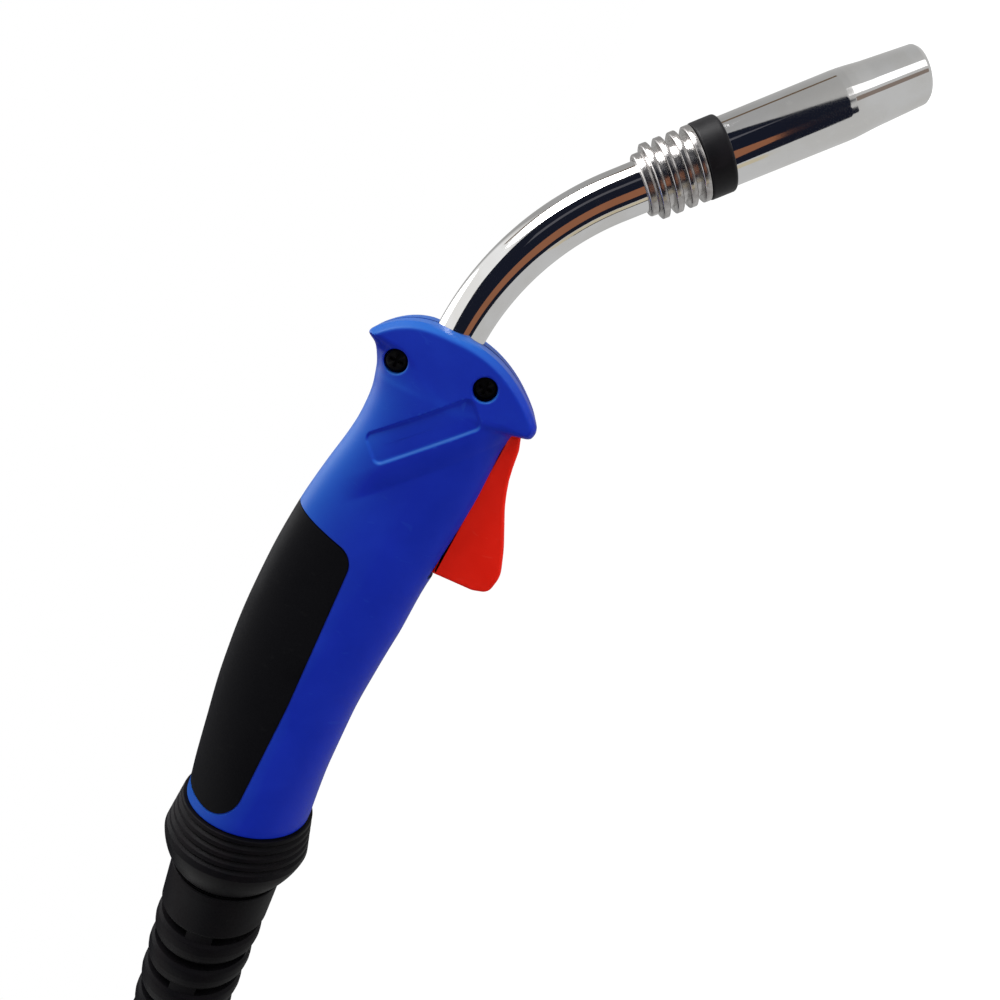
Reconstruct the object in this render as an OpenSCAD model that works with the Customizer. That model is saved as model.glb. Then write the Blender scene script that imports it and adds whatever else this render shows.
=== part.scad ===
// Air-cooled MIG/MAG welding torch: hand grip with trigger, bent neck, gas nozzle and strain relief.
// X runs along the hand grip towards the neck, Z towards the palm side, Y across.
// The origin is where the neck leaves the straight line of the hand grip.

/* [Hand grip] */
// Length from the start of the neck bend to the rear seat of the locking ring
handle_l = 167; // [150:1:190]
// How far the hood stands ahead of the start of the bend
hood_x = 6.8; // [5:0.1:9]
// Depth over which the hood's front rounds back to its nose
nose_depth = 14.8; // [13:0.1:17]
// Depth over which the hood's front rounds back to its upper peak
peak_depth = 9.2; // [8:0.1:11]
// How softly the hood's front turns into its sides
nose_round = 0.085; // [0.06:0.005:0.25]
// Height of the hood's upper peak above the axis
hood_top = 24; // [22:0.5:27]
// Depth of the hood's nose below the axis
hood_bottom = 32.2; // [31.5:0.1:35]
// Width across the hood
hood_w = 35.6; // [34:0.2:40]
// Height of the palm side behind the hood
saddle_top = 17.4; // [16.8:0.1:19]
// Height of the palm swell at mid length
crown_top = 27; // [25:0.5:30]
// Drop of the belly that the trigger comes out of
belly = 27.6; // [27:0.1:29]
// Drop of the finger side at the rear half
finger_drop = 19.3; // [18.6:0.1:22]
// Width at the waist
waist_w = 33.6; // [32:0.2:38]
// Diameter of the rear end
rear_d = 42; // [41.5:0.1:43]
// Tilt of the rear end against the grip's axis
tail_tilt = 5; // [0:0.5:8]
// Wall of the half shells
wall = 2.6; // [2.2:0.1:3]
// Thickness of the soft grip cover
grip_t = 1.4; // [1:0.1:1.6]
// Depth of the bare label panel
panel_t = 0.7; // [0.4:0.1:1]
// Width of the label panel
panel_w = 9.9; // [8:0.1:12]
// Length of the label panel
panel_l = 34; // [22:0.5:36]

/* [Shell screws] */
// Diameter of the screw head
screw_head_d = 6.6; // [6:0.1:6.8]
// Height of the screw head
screw_head_h = 4; // [2:0.1:5]
// Shank diameter
screw_d = 3.2; // [3:0.1:3.5]
// Shank length
screw_l = 20; // [16:0.5:21]
// Distance of the head's seat from the parting plane
screw_seat = 9; // [8:0.1:10]
// Wall of the screw bosses around the head's recess
boss_wall = 1.1; // [0.9:0.1:1.3]

/* [Trigger] */
// Length from the pivot to the trigger's rear face
trigger_l = 47; // [45:0.5:49]
// Width of the trigger
trigger_w = 15.4; // [14:0.2:16]
// How far the rear end hangs below the belly
trigger_drop = 15; // [12:0.5:17]
// Distance of the pivot behind the start of the bend
pivot_x = 17; // [16.6:0.1:18]
// Height of the pivot above the belly's underside
pivot_up = 3; // [2.8:0.1:3.4]
// Diameter of the pivot pin
pin_d = 3; // [2.5:0.1:3.2]
// Length of the pivot pin
pin_l = 20.4; // [19:0.2:21]
// Outer diameter of the return spring
spring_d = 6; // [5:0.1:6.4]
// Wire of the return spring
spring_wire = 0.7; // [0.5:0.05:0.9]
// Turns of the return spring
spring_turns = 6; // [5:1:7]

/* [Micro switch] */
// Length of the switch body
switch_l = 20; // [18:0.5:20.5]
// Height of the switch body
switch_h = 9.4; // [8:0.2:9.6]
// Thickness of the switch body
switch_w = 6.4; // [5:0.2:7]
// Free stroke between the trigger and the plunger
plunger_lash = 0.2; // [0.1:0.05:0.3]
// Distance of the plunger behind the pivot
plunger_at = 16; // [15:0.5:18]

/* [Neck] */
// Outer diameter of the neck tube
neck_d = 15; // [14.4:0.1:15.4]
// Bend of the neck in degrees
neck_bend = 43.5; // [35:0.5:55]
// Centreline radius of the bend
neck_r = 88.6; // [75:0.2:100]
// Wall of the outer tube
neck_wall = 1.2; // [1:0.1:1.4]
// Outer diameter of the insulating sleeve's bore, the conductor tube
conductor_d = 9.2; // [8.6:0.1:9.6]
// Bore of the conductor tube
conductor_bore = 5.2; // [4.8:0.1:5.6]
// Straight length of the tube inside the grip
neck_tail = 28; // [26:0.5:28.5]
// Straight length of the conductor inside the grip
conductor_tail = 64; // [60:0.5:68]
// Length of the moulded neck block
block_l = 14; // [10:0.5:16]
// Width over flats of the rear nut
nut_af = 17; // [15:0.5:17]
// Length of the rear nut
nut_l = 12; // [9:0.5:14]
// Diameter of the cable spigot behind the nut
spigot_d = 12; // [10:0.5:12]
// Length of the cable spigot
spigot_l = 10; // [8:0.5:14]

/* [Cooling fins and ring] */
// Distance of the fin body's rear edge past the bend
fin_start = 7.7; // [5:0.1:11]
// Diameter over the fins
fin_d = 22.2; // [21:0.1:24]
// Distance from fin to fin
fin_pitch = 4.2; // [3.8:0.1:4.6]
// Thickness of a fin at its rim
fin_t = 2.2; // [1.8:0.1:2.6]
// Number of fins
fin_count = 4; // [3:1:5]
// Diameter of the core between the fins
fin_core_d = 17.6; // [17:0.1:18.4]
// Diameter of the insulator ring
ring_d = 22.4; // [22:0.1:24]
// Length of the insulator ring
ring_l = 7.5; // [6.5:0.1:9]
// How deep the nozzle's tail sits in the insulator ring
tail_in = 5.2; // [4:0.1:5.4]

/* [Nozzle and contact tip] */
// Outer diameter of the nozzle
nozzle_d = 20; // [19.4:0.1:20.4]
// Overall length of the nozzle
nozzle_l = 62.6; // [58:0.5:68]
// Outer diameter at the mouth
mouth_d = 16.6; // [15.8:0.1:17.4]
// Bore at the mouth
mouth_bore = 12.5; // [11:0.1:13.2]
// Length of the tapered front
taper_l = 20; // [16:0.5:24]
// Wall at the rear
nozzle_wall = 1.5; // [1.3:0.1:1.6]
// Contact tip diameter
tip_d = 8; // [7:0.1:8.4]
// Contact tip overall length
tip_l = 28; // [25:0.5:30]
// Length of the contact tip's thread
tip_thread_l = 6.5; // [5:0.1:7]
// Thread diameter of the contact tip
tip_thread_d = 5; // [4.6:0.1:5.2]
// Bore of the contact tip
tip_bore = 1.2; // [0.9:0.1:1.6]
// How far the contact tip stands back from the nozzle's mouth
tip_back = 2.5; // [1:0.1:4]
// Diameter of the gas diffuser
diffuser_d = 13.6; // [13.2:0.1:13.8]
// Length of the gas diffuser
diffuser_l = 20; // [16:0.5:22]
// Number of gas holes
gas_holes = 8; // [6:1:10]

/* [Rear ball joint] */
// Diameter of the ball
ball_d = 36; // [35:0.1:36.4]
// Distance of the ball's centre behind the locking ring's front edge
ball_at = 8; // [7.6:0.1:8.6]
// Outer diameter of the locking ring at its front edge
lock_d = 44.4; // [44:0.1:45.4]
// Radius of the locking ring's round shoulder
shoulder_r = 25.4; // [25:0.1:26.5]
// Number of grooves round the locking ring
groove_count = 4; // [3:1:5]
// Wall of the handle's rear spigot
collar_wall = 1.8; // [1.6:0.1:2]
// Outer diameter of the ball's tail tube
ball_tail_d = 25; // [23:0.2:25.4]
// Cable bore through the ball
cable_bore = 19; // [16:0.2:20]

/* [Strain relief] */
// Diameter of the boot at its front
boot_d = 38; // [36:0.2:38.4]
// Diameter of the boot at its rear end
boot_end_d = 27; // [25:0.2:30]
// Distance of the boot's rear end behind the locking ring's front edge
boot_end = 165; // [158:1:175]
// Distance from slot to slot
slot_pitch = 11.2; // [10.6:0.1:11.6]
// Width of a slot
slot_w = 3; // [2:0.1:3.6]
// Number of slots
slot_count = 10; // [8:1:10]
// Distance of the first slot behind the locking ring's front edge
slot_at = 45; // [44:0.5:48]
// Width of the webs that bridge a slot
web_w = 9; // [6:0.5:12]

/* [Clearances] */
// Running gap between parts that move
run_gap = 0.3; // [0.25:0.01:0.4]
// Slip fit between parts that are pushed together
slip = 0.1; // [0.05:0.01:0.15]
// Radial play of the pivot pin
pin_play = 0.05; // [0.03:0.01:0.08]

/* [Hidden] */
$fn = 64;

blue = [0.05, 0.18, 0.62];
black = [0.07, 0.07, 0.08];
red = [0.80, 0.09, 0.05];
chrome = [0.78, 0.78, 0.80];
copper = [0.78, 0.45, 0.28];
brass = [0.80, 0.65, 0.32];

rear_r = rear_d / 2;
screw_r = screw_head_d / 2 + 0.35;
boss_r = screw_r + boss_wall;
screw_top_at = [-7.4, 13.4];
screw_low_at = [-3.8, -13.2];
pivot = [-pivot_x, -belly + pivot_up];
trigger_rear = pivot[0] - trigger_l;
lip_l = 4.2;
lip_w = 10;
trigger_top = -belly + 5.1;
slot_half = trigger_w / 2 + 0.5;
switch_z = trigger_top + 3.6;
plunger_x = pivot[0] - plunger_at;
switch_front = plunger_x + 3.6;
plunger_tip_r = 1.2;
switch_pin_d = 2.2;
switch_pins = [switch_front - 7.5, switch_front - 15.5];
spring_at = trigger_rear + 4.7;
spring_foot = trigger_top - 1.8;
spring_seat_z = -12.9;
seat_t = 2.4;
insul_d = neck_d - 2 * neck_wall - 2 * slip;
insul_bore = conductor_d + 2 * slip;
insul_tail = neck_tail + 6;
block_x = -12.2;
block_w = 22;
fin_l = fin_pitch * (fin_count - 1) + 4.15 + fin_t / 2;
fin_end = fin_start + fin_l;
ring_start = fin_end + 0.02;
ring_end = ring_start + ring_l;
nozzle_start = ring_end - tail_in;
mouth_s = nozzle_start + nozzle_l;
sleeve_start = nozzle_start - 0.3;
nozzle_bore_r = nozzle_d / 2 - nozzle_wall;
sleeve_r = nozzle_bore_r - run_gap - 0.2;
sleeve_bore_r = diffuser_d / 2 + 0.15;
sleeve_l = 18;
wire_d = 0.5;
tip_front = mouth_s - tip_back;
tip_rear = tip_front - tip_l;
holder_front = tip_rear + tip_thread_l;
conductor_front = holder_front - 26.8;
holder_af = 10;
diffuser_start = sleeve_start + 3.4;
tail_x = -handle_l;
ball_r = ball_d / 2;
socket_r = ball_r + run_gap;
collar_bore_r = ball_r + 0.4;
collar_r = collar_bore_r + collar_wall;
collar_len = 5;
seat_front = collar_len + run_gap;
seat_rear = ball_at + 3.7;
step_at = seat_rear + run_gap;
opening_r = ball_tail_d / 2 + 3;
opening_at = ball_at + sqrt(socket_r * socket_r - opening_r * opening_r);
flare_r = opening_r + 2.1;
flare_at = ball_at + sqrt(shoulder_r * shoulder_r - flare_r * flare_r);
boot_seat_r = shoulder_r + run_gap;
boot_r = boot_d / 2;
boot_front = ball_at + sqrt(boot_seat_r * boot_seat_r - boot_r * boot_r);
ball_tail_end = slot_at - slot_w / 2 - 1.5;
barb_h = 0.5;

// Places
module tail_axis() {
    translate([tail_x, 0, 0]) rotate([0, -tail_tilt - 90, 0]) children();
}
module front_axis(s = 0) {
    translate([neck_r * sin(neck_bend), 0, -neck_r * (1 - cos(neck_bend))])
        rotate([0, neck_bend + 90, 0]) translate([0, 0, s]) children();
}
module along_y(x, z, r, y0, y1) {
    translate([x, y0, z]) rotate([-90, 0, 0]) cylinder(r = r, h = y1 - y0);
}
module side_plate(points, y0, y1) {
    translate([0, y1, 0]) rotate([90, 0, 0]) linear_extrude(y1 - y0) polygon(points);
}
module tube(r, bore, h) {
    difference() {
        cylinder(r = r, h = h);
        translate([0, 0, -1]) cylinder(r = bore, h = h + 2);
    }
}

// Outside of the hand grip as sections: x, bottom, top, half width, squareness, tilt
hw = hood_w / 2;
ww = waist_w / 2;
sections = concat(
    [for (d = [0.15, 0.8, 2.2, 4.4, 6.8])
        [hood_x - d, -hood_bottom * pow(d / nose_depth, 0.435), hood_top * pow(d / peak_depth, 0.333),
         hw * pow(d / nose_depth, nose_round), 3.8, 0]],
    [[hood_x - peak_depth, -hood_bottom * 0.82, hood_top, hw * 0.965, 3.7, 0],
     [hood_x - peak_depth * 0.4 - nose_depth * 0.55, -hood_bottom * 0.925, hood_top * 0.93, hw * 0.985, 3.5, 0],
     [hood_x - nose_depth, -hood_bottom, hood_top * 0.86, hw * 0.995, 3.4, 0],
     [hood_x - nose_depth - 4.4, -hood_bottom * 0.965, hood_top * 0.4 + saddle_top * 0.53, hw, 3.3, 0],
     [hood_x - nose_depth - 5.4, -belly, hood_top * 0.3 + saddle_top * 0.65, hw, 3.2, 0],
     [-handle_l * 0.126, -belly, saddle_top, hw, 3.1, 0],
     [-handle_l * 0.165, -belly, saddle_top * 1.012, hw * 0.99, 3, 0],
     [-handle_l * 0.204, -belly, saddle_top * 1.07, hw * 0.98, 2.95, 0],
     [-handle_l * 0.275, -belly * 0.975, crown_top * 0.79, hw * 0.5 + ww * 0.48, 2.85, 0],
     [-handle_l * 0.371, -belly * 0.92, crown_top * 0.9, ww, 2.7, 0],
     [-handle_l * 0.491, -finger_drop * 0.6 - belly * 0.4, crown_top * 0.975, ww * 1.01, 2.6, 0],
     [-handle_l * 0.611, -finger_drop * 0.9 - belly * 0.115, crown_top, ww * 0.8 + rear_r * 0.2, 2.5, 0],
     [-handle_l * 0.731, -finger_drop, crown_top * 0.97, ww * 0.6 + rear_r * 0.38, 2.4, 0.5],
     [-handle_l * 0.85, -finger_drop * 1.005, crown_top * 0.47 + rear_r * 0.54, ww * 0.25 + rear_r * 0.73, 2.25, 1.5],
     [-handle_l * 0.934, -finger_drop * 0.4 - rear_r * 0.595, crown_top * 0.16 + rear_r * 0.86, rear_r * 0.975, 2.1,
      tail_tilt * 0.6],
     [-handle_l, -rear_r, rear_r, rear_r, 2, tail_tilt]]);
last = len(sections) - 1;
ring_points = 32;

function root(v, n) = sign(v) * pow(abs(v), 2 / n);
function section_point(s, a, cut) =
    let (b = s[1] + cut, t = s[2] - cut, mid = (b + t) / 2, v = mid + (t - b) / 2 * root(sin(a), s[4]))
    [s[0] - v * sin(s[5]), (s[3] - cut) * root(cos(a), s[4]), v * cos(s[5])];
module loft(list, cut = 0) {
    m = len(list);
    n = ring_points;
    points = [for (s = list) for (k = [0:n - 1]) section_point(s, 360 * k / n, cut)];
    sides = [for (i = [0:m - 2]) for (k = [0:n - 1]) for (h = [0, 1])
        let (a = i * n + k, b = i * n + (k + 1) % n, c = a + n, d = b + n)
        h == 0 ? [a, b, c] : [b, d, c]];
    polyhedron(points = points, faces = concat(sides,
        [[for (k = [n - 1:-1:0]) k]], [[for (k = [0:n - 1]) (m - 1) * n + k]]));
}
function some(a, b) = [for (i = [a:b]) sections[i]];
// Height of the inner floor at a place along the grip, a given distance off the middle
function floor_of(s, off) =
    let (h = (s[2] - s[1]) / 2 - wall, w = s[3] - wall)
    (s[1] + s[2]) / 2 - h * pow(1 - pow(off / w, s[4]), 1 / s[4]);
function floor_at(x, off) = lookup(x, [for (i = [17:-1:9]) [sections[i][0], floor_of(sections[i], off)]]);
lip_z = floor_at(trigger_rear - lip_l, lip_w / 2) + run_gap;
function shift(s, dx) = [s[0] + dx, s[1], s[2], s[3], s[4], s[5]];

// The half shells
module half_space(side) {
    translate([-handle_l - 40, side < 0 ? -40 : 0, -60]) cube([handle_l + 80, 40, 120]);
}
grip_edge = 1.2;
grip_x0 = -handle_l * 0.395;
grip_x1 = -handle_l * 0.975;
module grip_outline(side) {
    y0 = side < 0 ? -40 : 0;
    top = crown_top + 8;
    side_plate([[grip_x0 + 9, top], [grip_x0 + 3, grip_edge + 10], [grip_x0, grip_edge + 2.4],
                [grip_x0 - 4, grip_edge], [grip_x1 + 9, grip_edge + 0.8], [grip_x1 + 4, grip_edge + 2.8],
                [grip_x1 + 0.8, grip_edge + 6.6], [grip_x1 - 0.8, grip_edge + 11], [grip_x1 - 1.5, top]], y0, y0 + 40);
}
module grip(side) {
    color(black) difference() {
        intersection() {
            loft(some(13, last));
            grip_outline(side);
        }
        loft(some(12, last), grip_t);
        tail_axis() translate([0, 0, -8]) cylinder(r = collar_r, h = 20);
    }
}
panel_c = [-22.6, -2];
panel_turn = 45.4;
function panel_points(l, w, r) = [
    for (q = [[1, 1, 0], [-1, 1, 90], [-1, -1, 180], [1, -1, 270]]) for (a = [0:15:90])
        let (px = q[0] * (l / 2 - r) + r * cos(q[2] + a), pz = q[1] * (w / 2 - r) + r * sin(q[2] + a))
        [panel_c[0] + px * cos(-panel_turn) - pz * sin(-panel_turn),
         panel_c[1] + px * sin(-panel_turn) + pz * cos(-panel_turn)]];
module panel_cut(side) {
    difference() {
        side_plate(panel_points(panel_l, panel_w, 2.4), side < 0 ? -30 : 8, side < 0 ? -8 : 30);
        loft(some(7, 14), panel_t);
    }
}
module inside_features() {
    intersection() {
        union() {
            for (p = [screw_top_at, screw_low_at]) along_y(p[0], p[1], boss_r, -30, 30);
            for (x = [block_x + slip, block_x - block_l - 2.4 - slip])
                translate([x, -30, -16.4]) cube([2.4, 60, 29]);
            for (x = switch_pins) along_y(x, switch_z + 2.6, 2.6, -30, 30);
            translate([spring_at - spring_d / 2 - 1.4, -30, spring_seat_z])
                cube([spring_d + 2.8, 60, seat_t]);
        }
        loft(some(3, 15), wall / 2);
    }
}
module cavity() {
    loft(concat([shift(sections[3], -2.6)], some(5, 7), [sections[10]], some(12, last - 1)), wall);
    tail_axis() translate([0, 0, -16]) cylinder(r = collar_bore_r, h = 30);
}
module shell(side) {
    color(blue) difference() {
        union() {
            intersection() {
                difference() {
                    loft(sections);
                    cavity();
                }
                half_space(side);
            }
            intersection() {
                inside_features();
                half_space(side);
            }
            intersection() {
                tail_axis() translate([0, 0, -3]) tube(collar_r, collar_bore_r, 3 + collar_len);
                half_space(side);
            }
        }
        difference() {
            grip_outline(side);
            loft(some(12, last), grip_t);
            tail_axis() translate([0, 0, -8]) cylinder(r = collar_r, h = 20);
        }
        panel_cut(side);
        translate([-60, 0, 0]) rotate([0, 90, 0]) cylinder(r = neck_d / 2 + slip, h = 80);
        // trigger opening
        translate([pivot[0] - trigger_l - 2.3, -slot_half, -hood_bottom - 1])
            cube([trigger_l + 6.3, 2 * slot_half, hood_bottom + 1 - 20.8]);
        along_y(pivot[0], pivot[1], pin_d / 2 + 0.02, -pin_l / 2 - 0.1, pin_l / 2 + 0.1);
        // switch pocket between the two rows of pins
        translate([switch_pins[1] - 3, -switch_w / 2 - slip, switch_z - 1])
            cube([switch_pins[0] - switch_pins[1] + 6, switch_w + 2 * slip, switch_h]);
        for (p = [screw_top_at, screw_low_at]) {
            along_y(p[0], p[1], screw_d / 2 + (side < 0 ? 0.15 : 0.03), side < 0 ? -30 : -0.1,
                    side < 0 ? 0.1 : screw_l - screw_seat + 0.6);
            if (side < 0) along_y(p[0], p[1], screw_r, -30, -screw_seat);
        }
    }
    // locating pins of the switch
    if (side < 0) color(blue) for (x = switch_pins)
        along_y(x, switch_z + 2.6, switch_pin_d / 2, -switch_w / 2 - slip - 0.5, switch_w / 2 - 0.6);
}
module shell_left() { shell(-1); }
module shell_right() { shell(1); }
module grip_left() { grip(-1); }
module grip_right() { grip(1); }

module shell_screw(x, z) {
    difference() {
        union() {
            along_y(x, z, screw_head_d / 2, -screw_seat - screw_head_h, -screw_seat);
            along_y(x, z, screw_d / 2, -screw_seat - 0.5, screw_l - screw_seat);
        }
        for (a = [0, 90]) translate([x, -screw_seat - screw_head_h, z]) rotate([0, a, 0])
            translate([-screw_head_d * 0.32, -1, -0.55]) cube([screw_head_d * 0.64, 2.4, 1.1]);
    }
}
module shell_screws() {
    color(black) {
        shell_screw(screw_top_at[0], screw_top_at[1]);
        shell_screw(screw_low_at[0], screw_low_at[1]);
    }
}

// The trigger and what it works
module trigger() {
    g = -belly;
    outline = [[pivot[0] + 3.5, g - 1.9], [pivot[0] + 2.6, g - 2.9], [pivot[0] - 3, g - 3.4],
               [pivot[0] - 10.2, g - 4.4], [pivot[0] - 16, g - trigger_drop * 0.4],
               [pivot[0] - 21.2, g - trigger_drop * 0.54], [pivot[0] - 30.8, g - trigger_drop * 0.82],
               [pivot[0] - 37, g - trigger_drop * 0.96], [trigger_rear + 5.2, g - trigger_drop],
               [trigger_rear + 1.7, g - trigger_drop * 0.9], [trigger_rear, g - trigger_drop * 0.64],
               [trigger_rear, trigger_top], [trigger_rear + 1.6, trigger_top], [pivot[0] - 4, trigger_top],
               [pivot[0] + 1.6, pivot[1] + 2.7], [pivot[0] + 3.1, pivot[1] + 0.6]];
    color(red) difference() {
        union() {
            side_plate(outline, -trigger_w / 2, trigger_w / 2);
            along_y(pivot[0], pivot[1], 3.1, -trigger_w / 2, trigger_w / 2);
            // lip that rests on the shells' floor
            side_plate([[trigger_rear, trigger_top - 1], [trigger_rear, lip_z], [trigger_rear - lip_l, lip_z],
                        [trigger_rear - lip_l, lip_z + 2], [trigger_rear + 1.6, lip_z + 2],
                        [trigger_rear + 1.6, trigger_top - 1]], -lip_w / 2, lip_w / 2);
        }
        along_y(pivot[0], pivot[1], pin_d / 2 + pin_play, -20, 20);
        translate([spring_at, 0, spring_foot - 0.1]) cylinder(r = spring_d / 2 + 0.8, h = 20);
        // hollow between the side walls
        translate([trigger_rear + 12, -trigger_w / 2 + 2, trigger_top - 3])
            cube([plunger_x - 4 - trigger_rear - 12, trigger_w - 4, 6]);
    }
}
module trigger_pin() {
    color(chrome) along_y(pivot[0], pivot[1], pin_d / 2, -pin_l / 2, pin_l / 2);
}
function coil_point(t, r, h, turns) = [r * cos(360 * turns * t), r * sin(360 * turns * t), h * t];
module coil(r, wire, h, turns, steps = 14, sides = 6) {
    n = turns * steps;
    points = [for (i = [0:n]) let (c = coil_point(i / n, r, h, turns), a = 360 * turns * i / n)
        for (k = [0:sides - 1]) let (b = 360 * k / sides)
            [c[0] + wire / 2 * cos(b) * cos(a), c[1] + wire / 2 * cos(b) * sin(a), c[2] + wire / 2 * sin(b)]];
    faces = [for (i = [0:n - 1]) for (k = [0:sides - 1]) for (f = [0, 1])
        let (p = i * sides + k, q = i * sides + (k + 1) % sides, u = p + sides, v = q + sides)
        f == 0 ? [p, q, u] : [q, v, u]];
    polyhedron(points = points, faces = concat(faces,
        [[for (k = [sides - 1:-1:0]) k]], [[for (k = [0:sides - 1]) n * sides + k]]));
}
module trigger_spring() {
    h = spring_seat_z - spring_foot - spring_wire - 0.1;
    color(chrome) translate([spring_at, 0, spring_foot + spring_wire / 2])
        coil(spring_d / 2 - spring_wire / 2, spring_wire, h, spring_turns);
}
module switch_body() {
    color(black) difference() {
        translate([switch_front - switch_l, -switch_w / 2, switch_z])
            cube([switch_l, switch_w, switch_h]);
        for (x = switch_pins) along_y(x, switch_z + 2.6, switch_pin_d / 2 + slip, -10, 10);
        translate([plunger_x, 0, switch_z - 1]) cylinder(r = plunger_tip_r + run_gap * 0.3, h = 4.6);
    }
}
module switch_plunger() {
    z0 = trigger_top + plunger_lash;
    color(red) translate([plunger_x, 0, z0 + 0.4]) {
        cylinder(r = plunger_tip_r, h = switch_z + 1.6 - z0 - 0.4);
        translate([0, 0, -0.4]) cylinder(r1 = plunger_tip_r - 0.5, r2 = plunger_tip_r, h = 0.4);
    }
}
module switch_terminals() {
    color(brass) for (x = switch_pins)
        translate([x - 0.25, -1.4, switch_z + switch_h]) cube([0.5, 2.8, 3.6]);
}

// The neck
bend_steps = 10;
tube_sides = 36;
function neck_path(back, front) = concat([[-back, 0]], [for (i = [0:bend_steps]) [0, neck_bend * i / bend_steps]],
    [[front, neck_bend]]);
// A place on the neck's centreline: p[0] runs along the straight before the bend or past it, p[1] is the angle
function neck_point(p) = let (run = p[0])
    [neck_r * sin(p[1]) + run * cos(p[1]), -neck_r * (1 - cos(p[1])) - run * sin(p[1])];
module bent_rod(r, back, front) {
    path = neck_path(back, front);
    n = tube_sides;
    m = len(path);
    points = [for (p = path) let (c = neck_point(p)) for (k = [0:n - 1]) let (a = 360 * k / n)
        [c[0] + r * sin(a) * sin(p[1]), -r * cos(a), c[1] + r * sin(a) * cos(p[1])]];
    faces = [for (i = [0:m - 2]) for (k = [0:n - 1]) for (f = [0, 1])
        let (u = i * n + k, v = i * n + (k + 1) % n, w = u + n, x = v + n)
        f == 0 ? [u, v, w] : [v, x, w]];
    polyhedron(points = points, faces = concat(faces,
        [[for (k = [n - 1:-1:0]) k]], [[for (k = [0:n - 1]) (m - 1) * n + k]]));
}
module bent(r, bore, back, front) {
    difference() {
        bent_rod(r, back, front);
        bent_rod(bore, back + 1, front + 1);
    }
}
tube_front = fin_start + 8.4;
module neck_tube() {
    color(chrome) bent(neck_d / 2, neck_d / 2 - neck_wall, neck_tail, tube_front);
}
module neck_insulation() {
    color([0.92, 0.92, 0.90]) bent(insul_d / 2, insul_bore / 2, insul_tail, sleeve_start - 0.2);
}
module conductor_tube() {
    color(copper) bent(conductor_d / 2, conductor_bore / 2, conductor_tail, conductor_front);
}
module neck_block() {
    color(black) difference() {
        translate([block_x - block_l, -block_w / 2, -11]) cube([block_l, block_w, 22]);
        translate([-60, 0, 0]) rotate([0, 90, 0]) cylinder(r = neck_d / 2 + slip / 2, h = 80);
    }
}
nut_x = -conductor_tail + 6;
module rear_nut() {
    color(brass) difference() {
        translate([nut_x - nut_l, 0, 0]) rotate([0, 90, 0]) union() {
            rotate([0, 0, 30]) cylinder(r = nut_af / sqrt(3), h = nut_l, $fn = 6);
            translate([0, 0, -spigot_l]) cylinder(r = spigot_d / 2, h = spigot_l + 1);
        }
        translate([-conductor_tail, 0, 0]) rotate([0, 90, 0]) cylinder(r = conductor_d / 2 + slip / 2, h = 30);
        translate([nut_x - nut_l - spigot_l - 1, 0, 0]) rotate([0, 90, 0])
            cylinder(r = conductor_bore / 2, h = 60);
        translate([nut_x - nut_l - 2.6, 0, 0]) rotate([0, 90, 0]) tube(spigot_d, spigot_d / 2 - 0.8, 1.6);
    }
}
module o_ring() {
    color(black) translate([nut_x - nut_l - 1.8, 0, 0]) rotate([0, 90, 0])
        rotate_extrude() translate([spigot_d / 2 - 0.05, 0]) circle(r = 0.7, $fn = 32);
}

// The front end
module fin_body() {
    core = fin_core_d / 2;
    r = fin_d / 2;
    color(chrome) front_axis(fin_start) difference() {
        union() {
            cylinder(r = core, h = fin_l);
            for (i = [0:fin_count - 1]) translate([0, 0, 4.15 + i * fin_pitch]) rotate_extrude()
                polygon([[core - 1, -fin_t / 2], [r - 0.7, -fin_t / 2], [r - 0.2, -fin_t / 2 + 0.3],
                         [r, -fin_t / 2 + 0.8], [r, fin_t / 2 - 0.8], [r - 0.2, fin_t / 2 - 0.3],
                         [r - 0.7, fin_t / 2], [core - 1, fin_t / 2]]);
        }
        translate([0, 0, -1]) cylinder(r = neck_d / 2 + slip / 2, h = tube_front - fin_start + 1.1);
        cylinder(r = insul_d / 2 + slip, h = fin_l + 1);
    }
}
module insulator_ring() {
    color(black) front_axis(ring_start) difference() {
        union() {
            translate([0, 0, 0.5]) cylinder(r = ring_d / 2, h = ring_l - 1);
            cylinder(r1 = ring_d / 2 - 0.5, r2 = ring_d / 2, h = 0.5);
            translate([0, 0, ring_l - 0.5]) cylinder(r1 = ring_d / 2, r2 = ring_d / 2 - 0.5, h = 0.5);
        }
        translate([0, 0, -1]) cylinder(r = insul_d / 2 + slip, h = ring_l + 2);
        translate([0, 0, sleeve_start - ring_start]) cylinder(r = nozzle_d / 2 + run_gap * 0.8, h = ring_l);
    }
}
module nozzle_sleeve() {
    color(brass) front_axis(sleeve_start) difference() {
        cylinder(r = sleeve_r, h = sleeve_l);
        translate([0, 0, -1]) cylinder(r = sleeve_bore_r, h = sleeve_l + 2);
        translate([0, 0, 6]) tube(sleeve_r + 1, sleeve_r - 0.35, 7);
    }
}
module nozzle_spring() {
    color(chrome) front_axis(sleeve_start + 6.6)
        coil(sleeve_r - 0.35 + wire_d / 2 + 0.05, wire_d, 5.8, 3, 24);
}
module gas_diffuser() {
    color([0.9, 0.88, 0.82]) front_axis(diffuser_start) difference() {
        cylinder(r = diffuser_d / 2, h = diffuser_l);
        translate([0, 0, -1]) cylinder(r = conductor_d / 2 + slip, h = diffuser_l + 2);
        translate([0, 0, conductor_front - diffuser_start])
            cylinder(r = holder_af / sqrt(3) + slip, h = diffuser_l);
        for (i = [0:gas_holes - 1]) rotate([0, 0, 360 * i / gas_holes])
            translate([0, 0, diffuser_l - 2.6]) rotate([0, 90, 0]) cylinder(r = 0.8, h = 20);
    }
}
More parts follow.
